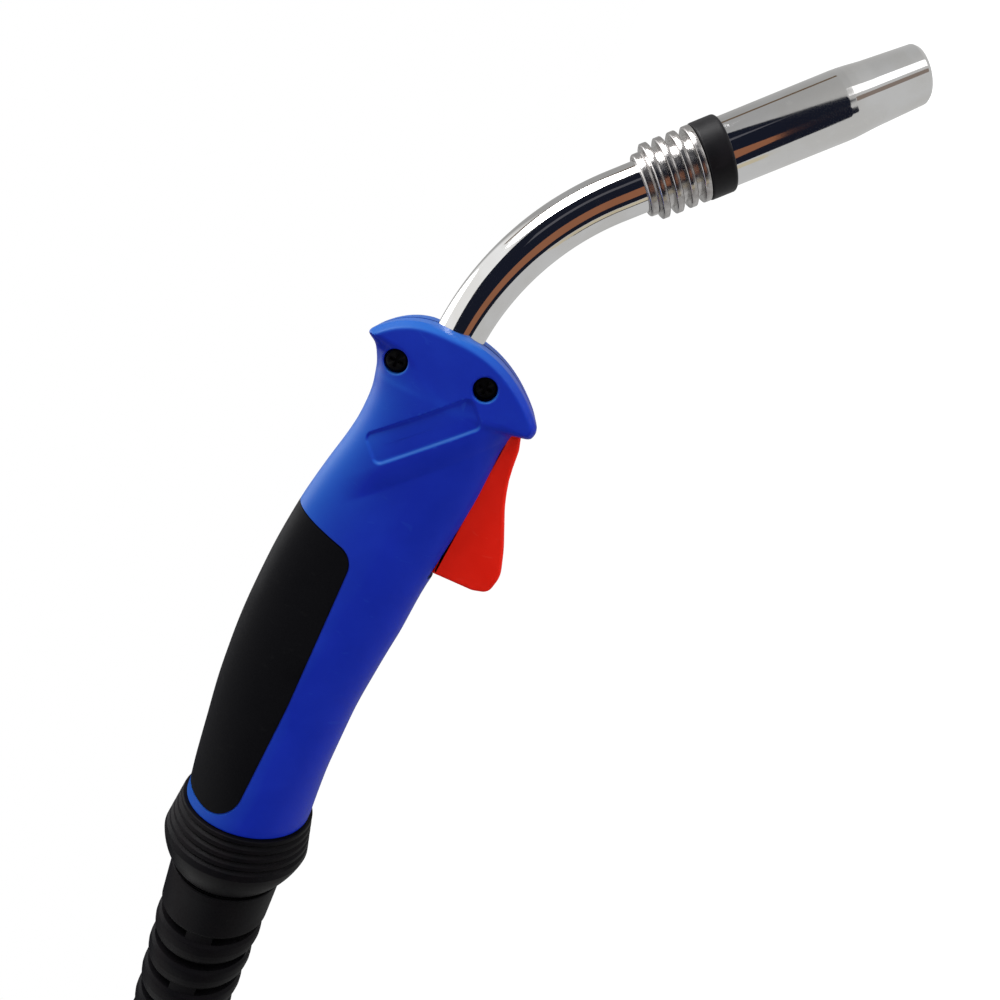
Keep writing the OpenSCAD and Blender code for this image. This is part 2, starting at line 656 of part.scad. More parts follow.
module tip_holder() {
    color(brass) front_axis(conductor_front) difference() {
        union() {
            translate([0, 0, -7]) cylinder(r = conductor_bore / 2 - slip / 2, h = 8);
            cylinder(r = holder_af / sqrt(3), h = 9, $fn = 6);
            cylinder(r = 4.6, h = holder_front - conductor_front);
        }
        translate([0, 0, -8]) cylinder(r = 1.1, h = 50);
        translate([0, 0, tip_rear - conductor_front - 0.4])
            cylinder(r = tip_thread_d / 2 + slip / 2, h = 20);
    }
}
module contact_tip() {
    nose = 5;
    color(copper) front_axis(tip_rear) difference() {
        union() {
            cylinder(r = tip_thread_d / 2, h = tip_thread_l + 0.5);
            translate([0, 0, tip_thread_l]) cylinder(r = tip_d / 2, h = tip_l - tip_thread_l - nose);
            translate([0, 0, tip_l - nose]) cylinder(r1 = tip_d / 2, r2 = tip_d / 2 - 1.7, h = nose);
        }
        translate([0, 0, -1]) cylinder(r = tip_bore / 2, h = tip_l + 2);
        for (a = [0, 180]) rotate([0, 0, a]) translate([tip_d / 2 - 0.5, -5, tip_thread_l + 2])
            cube([2, 10, 5]);
    }
}
module gas_nozzle() {
    r = nozzle_d / 2;
    m = mouth_d / 2;
    b = nozzle_bore_r;
    t = nozzle_l - taper_l;
    color(chrome) front_axis(nozzle_start) rotate_extrude()
        polygon([[b, 0], [r - 0.4, 0], [r, 0.4], [r, t], [r - 0.25, t + 2.4], [r - 0.75, t + 4.8],
                 [m + 0.9, nozzle_l - 9], [m + 0.1, nozzle_l - 0.9], [m - 0.35, nozzle_l - 0.2], [m - 0.9, nozzle_l],
                 [mouth_bore / 2 + 0.5, nozzle_l], [mouth_bore / 2, nozzle_l - 0.6],
                 [mouth_bore / 2, nozzle_l - 4], [b, t - 2]]);
}

// The rear ball joint
module locking_ring() {
    r0 = lock_d / 2;
    slope = (sqrt(shoulder_r * shoulder_r - 36) - r0) / (ball_at + 6);
    rim = run_gap;
    color(black) tail_axis() difference() {
        rotate_extrude() intersection() {
            difference() {
                polygon([[opening_r - 4, rim], [r0 - 0.6, rim], [r0, rim + 0.6],
                         [r0 + slope * (ball_at + 6), ball_at + 6],
                         [shoulder_r, ball_at + 6], [shoulder_r, flare_at], [flare_r, flare_at],
                         [opening_r, opening_at], [opening_r - 4, opening_at]]);
                polygon([[0, 0], [collar_r + run_gap, 0], [collar_r + run_gap, step_at], [0, step_at]]);
                intersection() {
                    translate([0, ball_at]) circle(r = socket_r, $fn = 96);
                    square([60, 60]);
                }
                for (i = [0:groove_count - 1]) let (z = 2.4 + i * 2.9)
                    polygon([[r0 + slope * z - 0.9, z], [r0 + 9, z - 8], [r0 + 9, z + 8]]);
            }
            union() {
                translate([0, ball_at]) intersection() {
                    circle(r = shoulder_r, $fn = 96);
                    translate([0, -80]) square([80, 160]);
                }
            }
        }
    }
}
module ball_seat() {
    color([0.75, 0.74, 0.70]) tail_axis() difference() {
        translate([0, 0, seat_front]) cylinder(r = collar_r, h = seat_rear - seat_front);
        translate([0, 0, ball_at]) sphere(r = socket_r, $fn = 96);
    }
}
module ball() {
    color(black) tail_axis() difference() {
        union() {
            intersection() {
                translate([0, 0, ball_at]) sphere(r = ball_r, $fn = 96);
                translate([0, 0, ball_at - 5]) cylinder(r = ball_r + 1, h = 40);
            }
            translate([0, 0, ball_at]) cylinder(r = ball_tail_d / 2, h = ball_tail_end - ball_at);
            for (z = [9, 5]) translate([0, 0, ball_tail_end - z])
                cylinder(r1 = ball_tail_d / 2 + barb_h, r2 = ball_tail_d / 2, h = 2.2);
        }
        translate([0, 0, -20]) cylinder(r = cable_bore / 2, h = 100);
    }
}
module boot() {
    end_r = boot_end_d / 2;
    taper = (boot_r - end_r) / (boot_end - 6 - boot_front);
    first = slot_at - boot_front;
    color(black) tail_axis() difference() {
        rotate_extrude() polygon(concat(
            [[ball_tail_d / 2 + slip, boot_front - 1.5], [boot_r - 0.4, boot_front - 1.5], [boot_r, boot_front + 0.8],
             [boot_r - taper * (first - slot_w), slot_at - slot_w]],
            [for (i = [0:slot_count - 1]) for (p = [[-2.4, 0.1], [-1.5, 0.7], [1.5, 0.7], [2.4, 0.1], [5.6, -0.35]])
                [boot_r - taper * (first + i * slot_pitch) - p[1],
                 slot_at + i * slot_pitch + (abs(p[0]) == 1.5 ? sign(p[0]) * slot_w / 2 : p[0])]],
            [[end_r + 0.6, boot_end - 6], [end_r, boot_end - 2], [end_r - 1.2, boot_end],
             [cable_bore / 2 + 0.2, boot_end], [cable_bore / 2 + 0.2, ball_tail_end + slip],
             [ball_tail_d / 2 + slip, ball_tail_end + slip]]));
        translate([0, 0, ball_at]) sphere(r = boot_seat_r, $fn = 128);
        for (z = [9, 5]) translate([0, 0, ball_tail_end - z])
            cylinder(r1 = ball_tail_d / 2 + barb_h + slip, r2 = ball_tail_d / 2 + slip, h = 2.2);
        for (i = [0:slot_count - 1]) translate([0, 0, slot_at + i * slot_pitch - slot_w / 2])
            rotate([0, 0, 90 * (i % 2)]) difference() {
                cylinder(r = boot_r + 5, h = slot_w);
                translate([-web_w / 2, -40, -1]) cube([web_w, 80, slot_w + 2]);
            }
    }
}

shell_left();
shell_right();
grip_left();
grip_right();
shell_screws();
trigger();
trigger_pin();
trigger_spring();
switch_body();
switch_plunger();
switch_terminals();
neck_tube();
neck_insulation();
conductor_tube();
neck_block();
rear_nut();
o_ring();
fin_body();
insulator_ring();
nozzle_sleeve();
nozzle_spring();
gas_diffuser();
tip_holder();
contact_tip();
gas_nozzle();
locking_ring();
ball_seat();
ball();
boot();
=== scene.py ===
import math

import bmesh
import bpy
import numpy as np
from mathutils import Matrix, Vector


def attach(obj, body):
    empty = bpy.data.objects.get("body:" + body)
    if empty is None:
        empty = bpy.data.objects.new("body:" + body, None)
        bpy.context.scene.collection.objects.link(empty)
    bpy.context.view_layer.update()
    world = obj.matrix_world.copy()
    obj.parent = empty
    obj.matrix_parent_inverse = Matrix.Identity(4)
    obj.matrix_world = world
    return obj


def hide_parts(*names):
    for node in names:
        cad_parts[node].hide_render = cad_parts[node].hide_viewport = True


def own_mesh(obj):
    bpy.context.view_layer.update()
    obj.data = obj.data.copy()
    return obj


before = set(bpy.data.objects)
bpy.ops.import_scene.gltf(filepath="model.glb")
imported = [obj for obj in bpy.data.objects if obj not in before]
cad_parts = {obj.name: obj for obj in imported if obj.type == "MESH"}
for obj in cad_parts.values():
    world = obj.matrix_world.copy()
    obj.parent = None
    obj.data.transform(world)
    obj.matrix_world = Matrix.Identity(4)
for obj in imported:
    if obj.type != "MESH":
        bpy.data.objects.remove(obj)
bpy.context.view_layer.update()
scene = bpy.context.scene
mm = 0.001  # pieces are made in millimetres and turned into metres when they are finished

# what the solids are laid out by, in millimetres and degrees
torch = {"handle": 167, "bend": 43.5, "bendRadius": 88.6, "tailTilt": 5, "neckRadius": 7.5, "wall": 2.6,
         "finStart": 7.7, "ringStart": 25.57, "nozzleStart": 27.87, "tipRear": 59.97, "ballAt": 8}

# camera: its place in metres, turn in degrees and lens in millimetres
view = {"at": (0.0308, -0.2852, -0.0021), "turn": (75.864, 64.831, 0.219), "lens": 33.78, "sensor": 36,
        "near": 0.005}


def makeCamera():
    data = bpy.data.cameras.new("camera")
    data.lens = view["lens"]
    data.sensor_width = view["sensor"]
    data.clip_start = view["near"]
    camera = bpy.data.objects.new("camera", data)
    camera.location = view["at"]
    camera.rotation_euler = [math.radians(a) for a in view["turn"]]
    scene.collection.objects.link(camera)
    scene.camera = camera


makeCamera()
print("camera done")


# places along the bent neck and along the tilted tail, in millimetres
def frontAxis(along=0):
    b = math.radians(torch["bend"])
    reach = torch["bendRadius"]
    return Matrix(((-math.sin(b), 0, math.cos(b), reach * math.sin(b)), (0, 1, 0, 0),
                   (-math.cos(b), 0, -math.sin(b), -reach * (1 - math.cos(b))),
                   (0, 0, 0, 1))) @ Matrix.Translation((0, 0, along))


def tailAxis(along=0):
    t = math.radians(torch["tailTilt"])
    return Matrix(((-math.sin(t), 0, -math.cos(t), -torch["handle"]), (0, 1, 0, 0),
                   (math.cos(t), 0, -math.sin(t), 0), (0, 0, 0, 1))) @ Matrix.Translation((0, 0, along))


# mesh helpers
def newPiece(name, points, faces):
    mesh = bpy.data.meshes.new(name)
    mesh.from_pydata([tuple(p) for p in points], [], faces)
    mesh.update()
    piece = bpy.data.objects.new(name, mesh)
    scene.collection.objects.link(piece)
    return piece


def gridFaces(rows, columns, closeRows=False, closeColumns=False):
    return [(r * columns + c, r * columns + (c + 1) % columns,
             (r + 1) % rows * columns + (c + 1) % columns, (r + 1) % rows * columns + c)
            for r in range(rows if closeColumns else rows - 1)
            for c in range(columns if closeRows else columns - 1)]


def tubeFaces(rows, columns):  # closed loops one after another, with a face over each end
    ends = [tuple(range(columns)), tuple(range((rows - 1) * columns, rows * columns))]
    return gridFaces(rows, columns, closeRows=True) + ends


def faceOut(piece, weld=0.0):
    form = bmesh.new()
    form.from_mesh(piece.data)
    if weld:
        bmesh.ops.remove_doubles(form, verts=form.verts, dist=weld)
        bmesh.ops.delete(form, geom=[e for e in form.edges if not e.link_faces], context='EDGES')
    bmesh.ops.recalc_face_normals(form, faces=form.faces)
    if form.calc_volume(signed=True) < 0:
        bmesh.ops.reverse_faces(form, faces=form.faces)
    form.to_mesh(piece.data)
    form.free()
    return piece


def settle(piece):  # puts the result of the modifiers in the mesh
    graph = bpy.context.evaluated_depsgraph_get()
    mesh = bpy.data.meshes.new_from_object(piece.evaluated_get(graph))
    piece.modifiers.clear()
    piece.data = mesh
    return piece


def discard(*tools):
    for tool in tools:
        bpy.data.objects.remove(tool)


def carve(piece, tools, how='DIFFERENCE', keep=False):
    for tool in tools:
        modifier = piece.modifiers.new("tool", 'BOOLEAN')
        modifier.operation = how
        modifier.solver = 'MANIFOLD'
        modifier.object = tool
    settle(piece)
    if not keep:
        discard(*tools)
    return piece


def twin(piece, name):
    copy = bpy.data.objects.new(name, piece.data.copy())
    scene.collection.objects.link(copy)
    return copy


def finishPiece(piece, finish, body, stands=(), sharp=32):
    mesh = piece.data
    mesh.transform(Matrix.Scale(mm, 4))
    mesh.materials.clear()
    mesh.materials.append(finish)
    mesh.polygons.foreach_set("material_index", [0] * len(mesh.polygons))
    mesh.shade_smooth()
    mesh.set_sharp_from_angle(angle=math.radians(sharp))
    mesh.update()
    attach(piece, body)
    if stands:
        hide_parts(*stands)
    return piece


# outlines from corners of (across, along, radius of the corner)
def rounded(corners, stepAngle=12):
    points = []
    for i, (x, y, radius) in enumerate(corners):
        here = np.array((x, y), float)
        before = np.array(corners[i - 1][:2], float) - here
        after = np.array(corners[(i + 1) % len(corners)][:2], float) - here
        before /= np.linalg.norm(before)
        after /= np.linalg.norm(after)
        half = math.acos(max(-1.0, min(1.0, float(before @ after)))) / 2
        turn = math.pi - 2 * half
        if radius <= 0 or turn < 0.002:
            points.append(here)
            continue
        middle = (before + after) / np.linalg.norm(before + after)
        centre = here + middle * radius / math.sin(half)
        start = here + before * radius / math.tan(half) - centre
        end = here + after * radius / math.tan(half) - centre
        steps = max(2, round(math.degrees(turn) / stepAngle))
        for k in range(steps + 1):
            t = k / steps
            between = math.sin((1 - t) * turn) * start + math.sin(t * turn) * end
            points.append(centre + between / math.sin(turn))
    return points


def eased(points, margin=0.3, longest=6.0):  # cuts long straights, and close to their ends
    result = []
    for i, here in enumerate(points):
        step = points[(i + 1) % len(points)] - here
        span = float(np.linalg.norm(step))
        result.append(here)
        if margin and span > 3 * margin:
            middle = list(np.linspace(0, 1, math.ceil(span / longest) + 1)[1:-1])
            result += [here + step * t for t in [margin / span] + middle + [1 - margin / span]]
    return result


def turned(name, corners, place, segments=128, margin=0.3, longest=6.0):  # an outline spun round an axis
    outline = eased(rounded(corners), margin, longest)
    angles = [2 * math.pi * k / segments for k in range(segments)]
    points = [(r * math.cos(a), r * math.sin(a), z) for r, z in outline for a in angles]
    piece = newPiece(name, points, gridFaces(len(outline), segments, True, True))
    faceOut(piece, weld=1e-5)
    piece.data.transform(place)
    return piece


def prism(name, outline, near, far):  # an outline in the side view, (x, z), drawn out across the grip
    points = [(x, y, z) for y in (near, far) for x, z in outline]
    return faceOut(newPiece(name, points, tubeFaces(2, len(outline))))


def block(name, low, high):
    outline = [(low[0], low[2]), (high[0], low[2]), (high[0], high[2]), (low[0], high[2])]
    return prism(name, outline, low[1], high[1])


def rod(name, place, radius, start, end, segments=64):
    corners = [(0, start, 0), (radius, start, 0), (radius, end, 0), (0, end, 0)]
    return turned(name, corners, place, segments, margin=0)


still = Matrix.Identity(4)
acrossAxis = Matrix(((1, 0, 0, 0), (0, 0, -1, 0), (0, 1, 0, 0), (0, 0, 0, 1)))  # its z runs to -y
alongAxis = Matrix(((0, 0, 1, 0), (0, 1, 0, 0), (-1, 0, 0, 0), (0, 0, 0, 1)))  # its z runs to x


# node helpers
def newTree(name, kind, taken, made):  # a node group with its sockets, and what its inputs give
    tree = bpy.data.node_groups.new(name, kind + 'NodeTree')
    for label, what, value in taken:
        socket = tree.interface.new_socket(name=label, in_out='INPUT', socket_type='NodeSocket' + what)
        if value is not None:
            socket.default_value = value
    for label, what in made:
        tree.interface.new_socket(name=label, in_out='OUTPUT', socket_type='NodeSocket' + what)
    return tree, tree.nodes.new('NodeGroupInput').outputs


def bareTree(owner):  # the emptied tree of a material or a world
    owner.use_nodes = True
    owner.node_tree.nodes.clear()
    return owner.node_tree


def put(tree, kind, links=(), **settings):  # a node with its settings, and what its sockets are given
    node = tree.nodes.new(kind)
    for name, value in settings.items():
        setattr(node, name, value)
    for socket, value in dict(links).items():
        if isinstance(value, bpy.types.NodeSocket):
            tree.links.new(value, node.inputs[socket])
        else:
            node.inputs[socket].default_value = value
    return node


def calc(tree, operation, *values, clamp=False):
    links = dict(enumerate(values))
    return put(tree, 'ShaderNodeMath', links, operation=operation, use_clamp=clamp).outputs[0]


def noise(tree, where, scale, **more):
    return put(tree, 'ShaderNodeTexNoise', {"Vector": where, "Scale": scale, **more}).outputs[0]


def ranged(tree, value, low, high, **settings):  # 0 at low and 1 at high
    links = {"Value": value, "From Min": low, "From Max": high}
    return put(tree, 'ShaderNodeMapRange', links, **settings).outputs[0]


def blended(tree, share, first, second):  # a colour between two
    return put(tree, 'ShaderNodeMix', {0: share, 6: first, 7: second}, data_type='RGBA').outputs[2]


def byTree(name, tree, values):  # a mesh made by a geometry tree, with its inputs set
    piece = newPiece(name, [], [])
    modifier = piece.modifiers.new("tree", 'NODES')
    modifier.node_group = tree
    for socket in tree.interface.items_tree:
        if socket.in_out == 'INPUT' and socket.name in values:
            modifier[socket.identifier] = values[socket.name]
    settle(piece)
    return piece


# shader groups: each puts out colours, masks, values or heights that change over the surface
place = ("Vector", 'Vector', None)
amount = ("Amount", 'Float', 0.5)


def maskOut(tree, value, share):
    put(tree, 'NodeGroupOutput', {"Mask": calc(tree, 'MULTIPLY', value, share, clamp=True)})
    return tree


def makeGrain():  # the fine spark-eroded grain of a moulding
    tree, given = newTree("mouldGrain", 'Shader', [place, ("Grains per metre", 'Float', 3000.0),
                                                   ("Waviness", 'Float', 0.3)], [("Height", 'Float')])
    where, scale = given["Vector"], given["Grains per metre"]
    fine = noise(tree, where, scale, Detail=3.0, Roughness=0.6)
    cells = put(tree, 'ShaderNodeTexVoronoi', {"Vector": where, "Scale": scale}, feature='SMOOTH_F1')
    wave = noise(tree, where, 160.0, Detail=1.0)
    grain = calc(tree, 'ADD', fine, calc(tree, 'MULTIPLY', cells.outputs[0], 0.7))
    total = calc(tree, 'ADD', grain, calc(tree, 'MULTIPLY', wave, given["Waviness"]))
    put(tree, 'NodeGroupOutput', {"Height": total})
    return tree


def makeHandling():  # the uneven polish that hands and storage leave
    tree, given = newTree("handlingWear", 'Shader', [
        place, ("Clean", 'Color', (0.5, 0.5, 0.5, 1)), ("Rubbed", 'Color', (0.6, 0.6, 0.6, 1)),
        ("Patches per metre", 'Float', 90.0), ("Smooth", 'Float', 0.35), ("Rough", 'Float', 0.5)],
        [("Color", 'Color'), ("Roughness", 'Float')])
    where = given["Vector"]
    broad = noise(tree, where, given["Patches per metre"], Detail=5.0, Roughness=0.55, Distortion=0.4)
    fine = noise(tree, where, 2200.0, Detail=2.0)
    mask = ranged(tree, broad, 0.36, 0.66, interpolation_type='SMOOTHSTEP')
    mixed = calc(tree, 'ADD', calc(tree, 'MULTIPLY', mask, 0.8),
                 calc(tree, 'MULTIPLY', fine, 0.2), clamp=True)
    colour = blended(tree, mixed, given["Clean"], given["Rubbed"])
    rough = put(tree, 'ShaderNodeMix', {0: mixed, 2: given["Smooth"], 3: given["Rough"]}, data_type='FLOAT')
    put(tree, 'NodeGroupOutput', {"Color": colour, "Roughness": rough.outputs[0]})
    return tree


def makeScratches():  # hairlines that run every way, where the noise lets them
    tree, given = newTree("hairlines", 'Shader', [place, ("Lines per metre", 'Float', 500.0), amount],
                          [("Mask", 'Float')])
    thin = []
    for turn in ((0.3, 0.5, 0.2), (1.4, -0.4, 1.0)):
        drawn = put(tree, 'ShaderNodeMapping', {"Vector": given["Vector"], "Rotation": turn,
                                                "Scale": (1.0, 0.05, 0.35)})
        line = noise(tree, drawn.outputs[0], given["Lines per metre"], Detail=1.0, Distortion=0.6)
        thin.append(ranged(tree, line, 0.71, 0.77))
    return maskOut(tree, calc(tree, 'MAXIMUM', *thin), given["Amount"])


def makeEdgeRub():  # where an edge stands out, and is polished or worn first
    tree, given = newTree("edgeRub", 'Shader', [place, amount], [("Mask", 'Float')])
    edge = ranged(tree, put(tree, 'ShaderNodeNewGeometry').outputs["Pointiness"], 0.53, 0.62)
    broken = noise(tree, given["Vector"], 900.0, Detail=3.0)
    uneven = calc(tree, 'MULTIPLY', edge, calc(tree, 'ADD', broken, 0.3, clamp=True))
    return maskOut(tree, uneven, given["Amount"])


def makePaintedLitFaces():  # painted light: a paler blue on the faces that lie towards the front and the palm, where the light falls most
    tree, given = newTree("paintedLitFaces", 'Shader', [place, ("Towards", 'Vector', (0.75, -0.1, 0.65)), amount],
                          [("Mask", 'Float')])
    normal = put(tree, 'ShaderNodeNewGeometry').outputs["Normal"]
    facing = put(tree, 'ShaderNodeVectorMath', {0: normal, 1: given["Towards"]}, operation='DOT_PRODUCT')
    cloud = noise(tree, given["Vector"], 45.0, Detail=3.0)
    uneven = calc(tree, 'ADD', facing.outputs["Value"], calc(tree, 'MULTIPLY', cloud, 0.12))
    return maskOut(tree, ranged(tree, uneven, 0.12, 0.8), given["Amount"])


mouldGrain = makeGrain()
handlingWear = makeHandling()
hairlines = makeScratches()
edgeRub = makeEdgeRub()
# painted light, mixed into the shell's blue where its faces turn towards the lamps
paintedLitFaces = makePaintedLitFaces()

# finishes: three colours (linear), least and most roughness, then grains per metre, depth of the grain in
# metres, waviness, patches per metre, scratches, rubbed edges, metal and shine
finishKeys = ("clean", "rubbed", "worn", "rough", "grain", "depth", "wave", "patches", "scratch", "edge",
              "metal", "shine")
finishes = {
    "shellBlue": ((0.003, 0.017, 0.33), (0.004, 0.020, 0.36), (0.02, 0.09, 0.45),
        (0.38, 0.46), 3400, 0.000022, 0.15, 60, 0.08, 0.2, 0.0, 0.1),
    "triggerRed": ((0.66, 0.009, 0.002), (0.70, 0.011, 0.003), (0.75, 0.10, 0.07),
        (0.36, 0.46), 3000, 0.000015, 0.3, 90, 0.12, 0.25, 0.0, 0.08),
    "gripBlack": ((0.002, 0.002, 0.003), (0.003, 0.003, 0.004), (0.015, 0.015, 0.015),
        (0.55, 0.68), 2600, 0.00004, 0.2, 50, 0.1, 0.3, 0.0, 0.06),
    "screwBlack": ((0.002, 0.002, 0.002), (0.004, 0.004, 0.004), (0.02, 0.02, 0.02),
        (0.35, 0.5), 2500, 0.00001, 0.2, 300, 0.3, 0.5, 0.0, 0.15),
    "ringBlack": ((0.002, 0.002, 0.003), (0.004, 0.003, 0.004), (0.02, 0.02, 0.02),
        (0.42, 0.54), 2200, 0.00003, 0.3, 80, 0.15, 0.4, 0.0, 0.07),
    "bootRubber": ((0.002, 0.002, 0.003), (0.004, 0.003, 0.004), (0.018, 0.017, 0.017),
        (0.48, 0.62), 2000, 0.00004, 0.5, 60, 0.1, 0.4, 0.0, 0.08),
    "insulatorBlack": ((0.003, 0.003, 0.004), (0.006, 0.005, 0.007), (0.02, 0.02, 0.02),
        (0.4, 0.5), 3000, 0.00002, 0.2, 120, 0.1, 0.3, 0.0, 0.2),
    "brightPlate": ((0.78, 0.78, 0.79), (0.72, 0.71, 0.70), (0.80, 0.79, 0.77),
        (0.035, 0.075), 900, 0.0000012, 1.2, 70, 0.25, 0.2, 1.0, 0.5),
    "finPlate": ((0.60, 0.585, 0.58), (0.40, 0.38, 0.375), (0.74, 0.73, 0.71),
        (0.16, 0.30), 1400, 0.000012, 1.4, 300, 0.4, 0.5, 1.0, 0.5),
    "drawnCopper": ((0.78, 0.36, 0.20), (0.60, 0.26, 0.15), (0.85, 0.48, 0.3),
        (0.2, 0.32), 1500, 0.00001, 0.5, 200, 0.6, 0.4, 1.0, 0.5),
    "turnedBrass": ((0.72, 0.50, 0.20), (0.60, 0.40, 0.16), (0.8, 0.62, 0.32),
        (0.2, 0.3), 1500, 0.00001, 0.5, 200, 0.5, 0.4, 1.0, 0.5),
    "springSteel": ((0.45, 0.45, 0.46), (0.34, 0.33, 0.33), (0.6, 0.6, 0.6),
        (0.22, 0.32), 2500, 0.000008, 0.2, 300, 0.5, 0.3, 1.0, 0.5),
    "switchBlack": ((0.010, 0.010, 0.011), (0.016, 0.016, 0.017), (0.04, 0.04, 0.04),
        (0.4, 0.5), 3000, 0.00002, 0.2, 120, 0.1, 0.3, 0.0, 0.2),
    "waxyWhite": ((0.75, 0.75, 0.72), (0.68, 0.67, 0.63), (0.8, 0.8, 0.78),
        (0.4, 0.5), 2000, 0.00002, 0.4, 100, 0.1, 0.1, 0.0, 0.5),
    "firedCeramic": ((0.72, 0.68, 0.58), (0.62, 0.58, 0.48), (0.8, 0.77, 0.7),
        (0.55, 0.7), 1800, 0.00004, 0.3, 150, 0.1, 0.2, 0.0, 0.5),
    "acetalCream": ((0.55, 0.54, 0.49), (0.48, 0.47, 0.42), (0.6, 0.6, 0.56),
        (0.3, 0.42), 2000, 0.00001, 0.3, 100, 0.2, 0.2, 0.0, 0.5),
    "ballBlack": ((0.010, 0.010, 0.011), (0.018, 0.018, 0.019), (0.04, 0.04, 0.04),
        (0.25, 0.36), 2500, 0.00001, 0.3, 90, 0.3, 0.2, 0.0, 0.25),
}
paintedLitColour = {"shellBlue": ((0.014, 0.10, 0.37), 0.85)}  # painted light: the paler blue of the faces the light falls on, and its share


def makeFinish(name):
    value = dict(zip(finishKeys, finishes[name]))
    material = bpy.data.materials.new(name)
    tree = bareTree(material)
    where = tree.nodes.new('ShaderNodeTexCoord').outputs["Object"]

    def group(made, values):
        return put(tree, 'ShaderNodeGroup', {"Vector": where, **values}, node_tree=made).outputs

    wear = group(handlingWear, {"Clean": value["clean"] + (1,), "Rubbed": value["rubbed"] + (1,),
                                "Patches per metre": value["patches"], "Smooth": value["rough"][0],
                                "Rough": value["rough"][1]})
    grain = group(mouldGrain, {"Grains per metre": value["grain"], "Waviness": value["wave"]})
    lines = group(hairlines, {"Amount": value["scratch"]})["Mask"]
    edges = group(edgeRub, {"Amount": value["edge"]})["Mask"]
    base = wear["Color"]
    # painted light: faces towards the front and the palm are mixed to a paler blue, as if lit
    if name in paintedLitColour:
        litColour, share = paintedLitColour[name]
        base = blended(tree, group(paintedLitFaces, {"Amount": share})["Mask"], base, litColour + (1,))
    colour = blended(tree, calc(tree, 'MAXIMUM', lines, edges), base, value["worn"] + (1,))
    rough = calc(tree, 'ADD', wear["Roughness"], calc(tree, 'MULTIPLY', lines, 0.15))
    bump = put(tree, 'ShaderNodeBump', {"Height": grain["Height"], "Distance": value["depth"],
                                        "Strength": 1.0})
    shader = put(tree, 'ShaderNodeBsdfPrincipled', {
        "Base Color": colour, "Roughness": rough, "Normal": bump.outputs[0], "Metallic": value["metal"],
        "Specular IOR Level": value["shine"]})
    put(tree, 'ShaderNodeOutputMaterial', {"Surface": shader.outputs[0]})
    return material


finish = {name: makeFinish(name) for name in finishes}
print("finishes done")

# hand grip: sections of (x, half width, squareness, tilt) along it, and its upper and lower lines. Near the
# front edge the lines close as powers of the depth behind it
grip = {
    "front": 6.8, "noseDepth": 14.8, "peakDepth": 9.2, "top": 24.0, "bottom": 32.2, "half": 17.8,
    "lowRound": 0.435, "topRound": 0.333, "sideRound": 0.085, "noseEnds": (-6.5, -1.2, -8), "lawDepth": 4,
    "lower": [(-6.5, -30.74), (-8, -31.9), (-9.6, -32.3), (-11.4, -31.9), (-12.8, -30.5), (-13.5, -28.7),
              (-14.3, -27.6), (-27.56, -27.6), (-34.07, -27.6), (-45.9, -26.91), (-61.96, -25.39),
              (-82, -22.62), (-102, -20.54), (-122.1, -19.3), (-141.95, -19.4), (-156, -20.2), (-167, -21),
              (-172, -21)],
    "upper": [(-1.2, 22.91), (-2.2, 23.7), (-3, 23.95), (-3.9, 23.55), (-5.02, 22.6), (-8, 20.6),
              (-12.4, 18.8), (-21.04, 17.4), (-27.56, 17.61), (-34.07, 18.62), (-45.9, 21.33),
              (-61.96, 24.3), (-82, 26.33), (-102, 27), (-122.1, 26.19), (-141.95, 24.03), (-156, 22.4),
              (-167, 21), (-172, 21)],
    "sides": [(-8, 17.8, 3.4, 0), (-21.04, 17.8, 3.1, 0), (-34.07, 17.44, 2.95, 0), (-45.9, 16.96, 2.85, 0),
              (-61.96, 16.8, 2.7, 0), (-82, 16.97, 2.6, 0), (-102, 17.64, 2.5, 0), (-122.1, 18.06, 2.4, 0.5),
              (-141.95, 19.53, 2.25, 1.5), (-156, 20.5, 2.1, 3), (-167, 21, 2, 5), (-172, 21, 2, 5)],
    "valley": 1.3, "valleyStart": -22.45, "valleyWidth": 7.3, "seam": 0.22, "seamWidth": 0.45,
}
slope = math.radians(45.4)  # the label panel and the valley below it run down to the front at this angle


def smooth(t):
    t = np.clip(t, 0, 1)
    return t * t * (3 - 2 * t)


def throughPoints(x, xs, ys):  # a smooth line through the points that never overshoots them
    order = np.argsort(xs)
    xs = np.array(xs, float)[order]
    ys = np.array(ys, float)[order]
    step = np.diff(xs)
    rise = np.diff(ys) / step
    lean = np.zeros(len(xs))
    lean[0] = rise[0]
    lean[-1] = rise[-1]
    same = rise[:-1] * rise[1:] > 0
    first = 2 * step[1:] + step[:-1]
    second = step[1:] + 2 * step[:-1]
    steepness = first[same] / rise[:-1][same] + second[same] / rise[1:][same]
    lean[1:-1][same] = (first + second)[same] / steepness
    k = np.clip(np.searchsorted(xs, x) - 1, 0, len(xs) - 2)
    t = (x - xs[k]) / step[k]
    return (ys[k] * (1 + 2 * t) * (1 - t) ** 2 + lean[k] * step[k] * t * (1 - t) ** 2
            + ys[k + 1] * t ** 2 * (3 - 2 * t) + lean[k + 1] * step[k] * t ** 2 * (t - 1))


def softened(values, steps, width):  # a rolling mean, weighted to the middle
    kernel = np.exp(-0.5 * (np.arange(-steps, steps + 1) / width) ** 2)
    padded = np.pad(values, steps, mode='edge')
    return np.convolve(padded, kernel / kernel.sum(), mode='valid')


def noseLaws(x):  # lower and upper line and half width close to the front edge
    depth = np.clip(grip["front"] - x, 1e-4, None)
    return (-grip["bottom"] * (depth / grip["noseDepth"]) ** grip["lowRound"],
            grip["top"] * (depth / grip["peakDepth"]) ** grip["topRound"],
            grip["half"] * (depth / grip["noseDepth"]) ** grip["sideRound"])


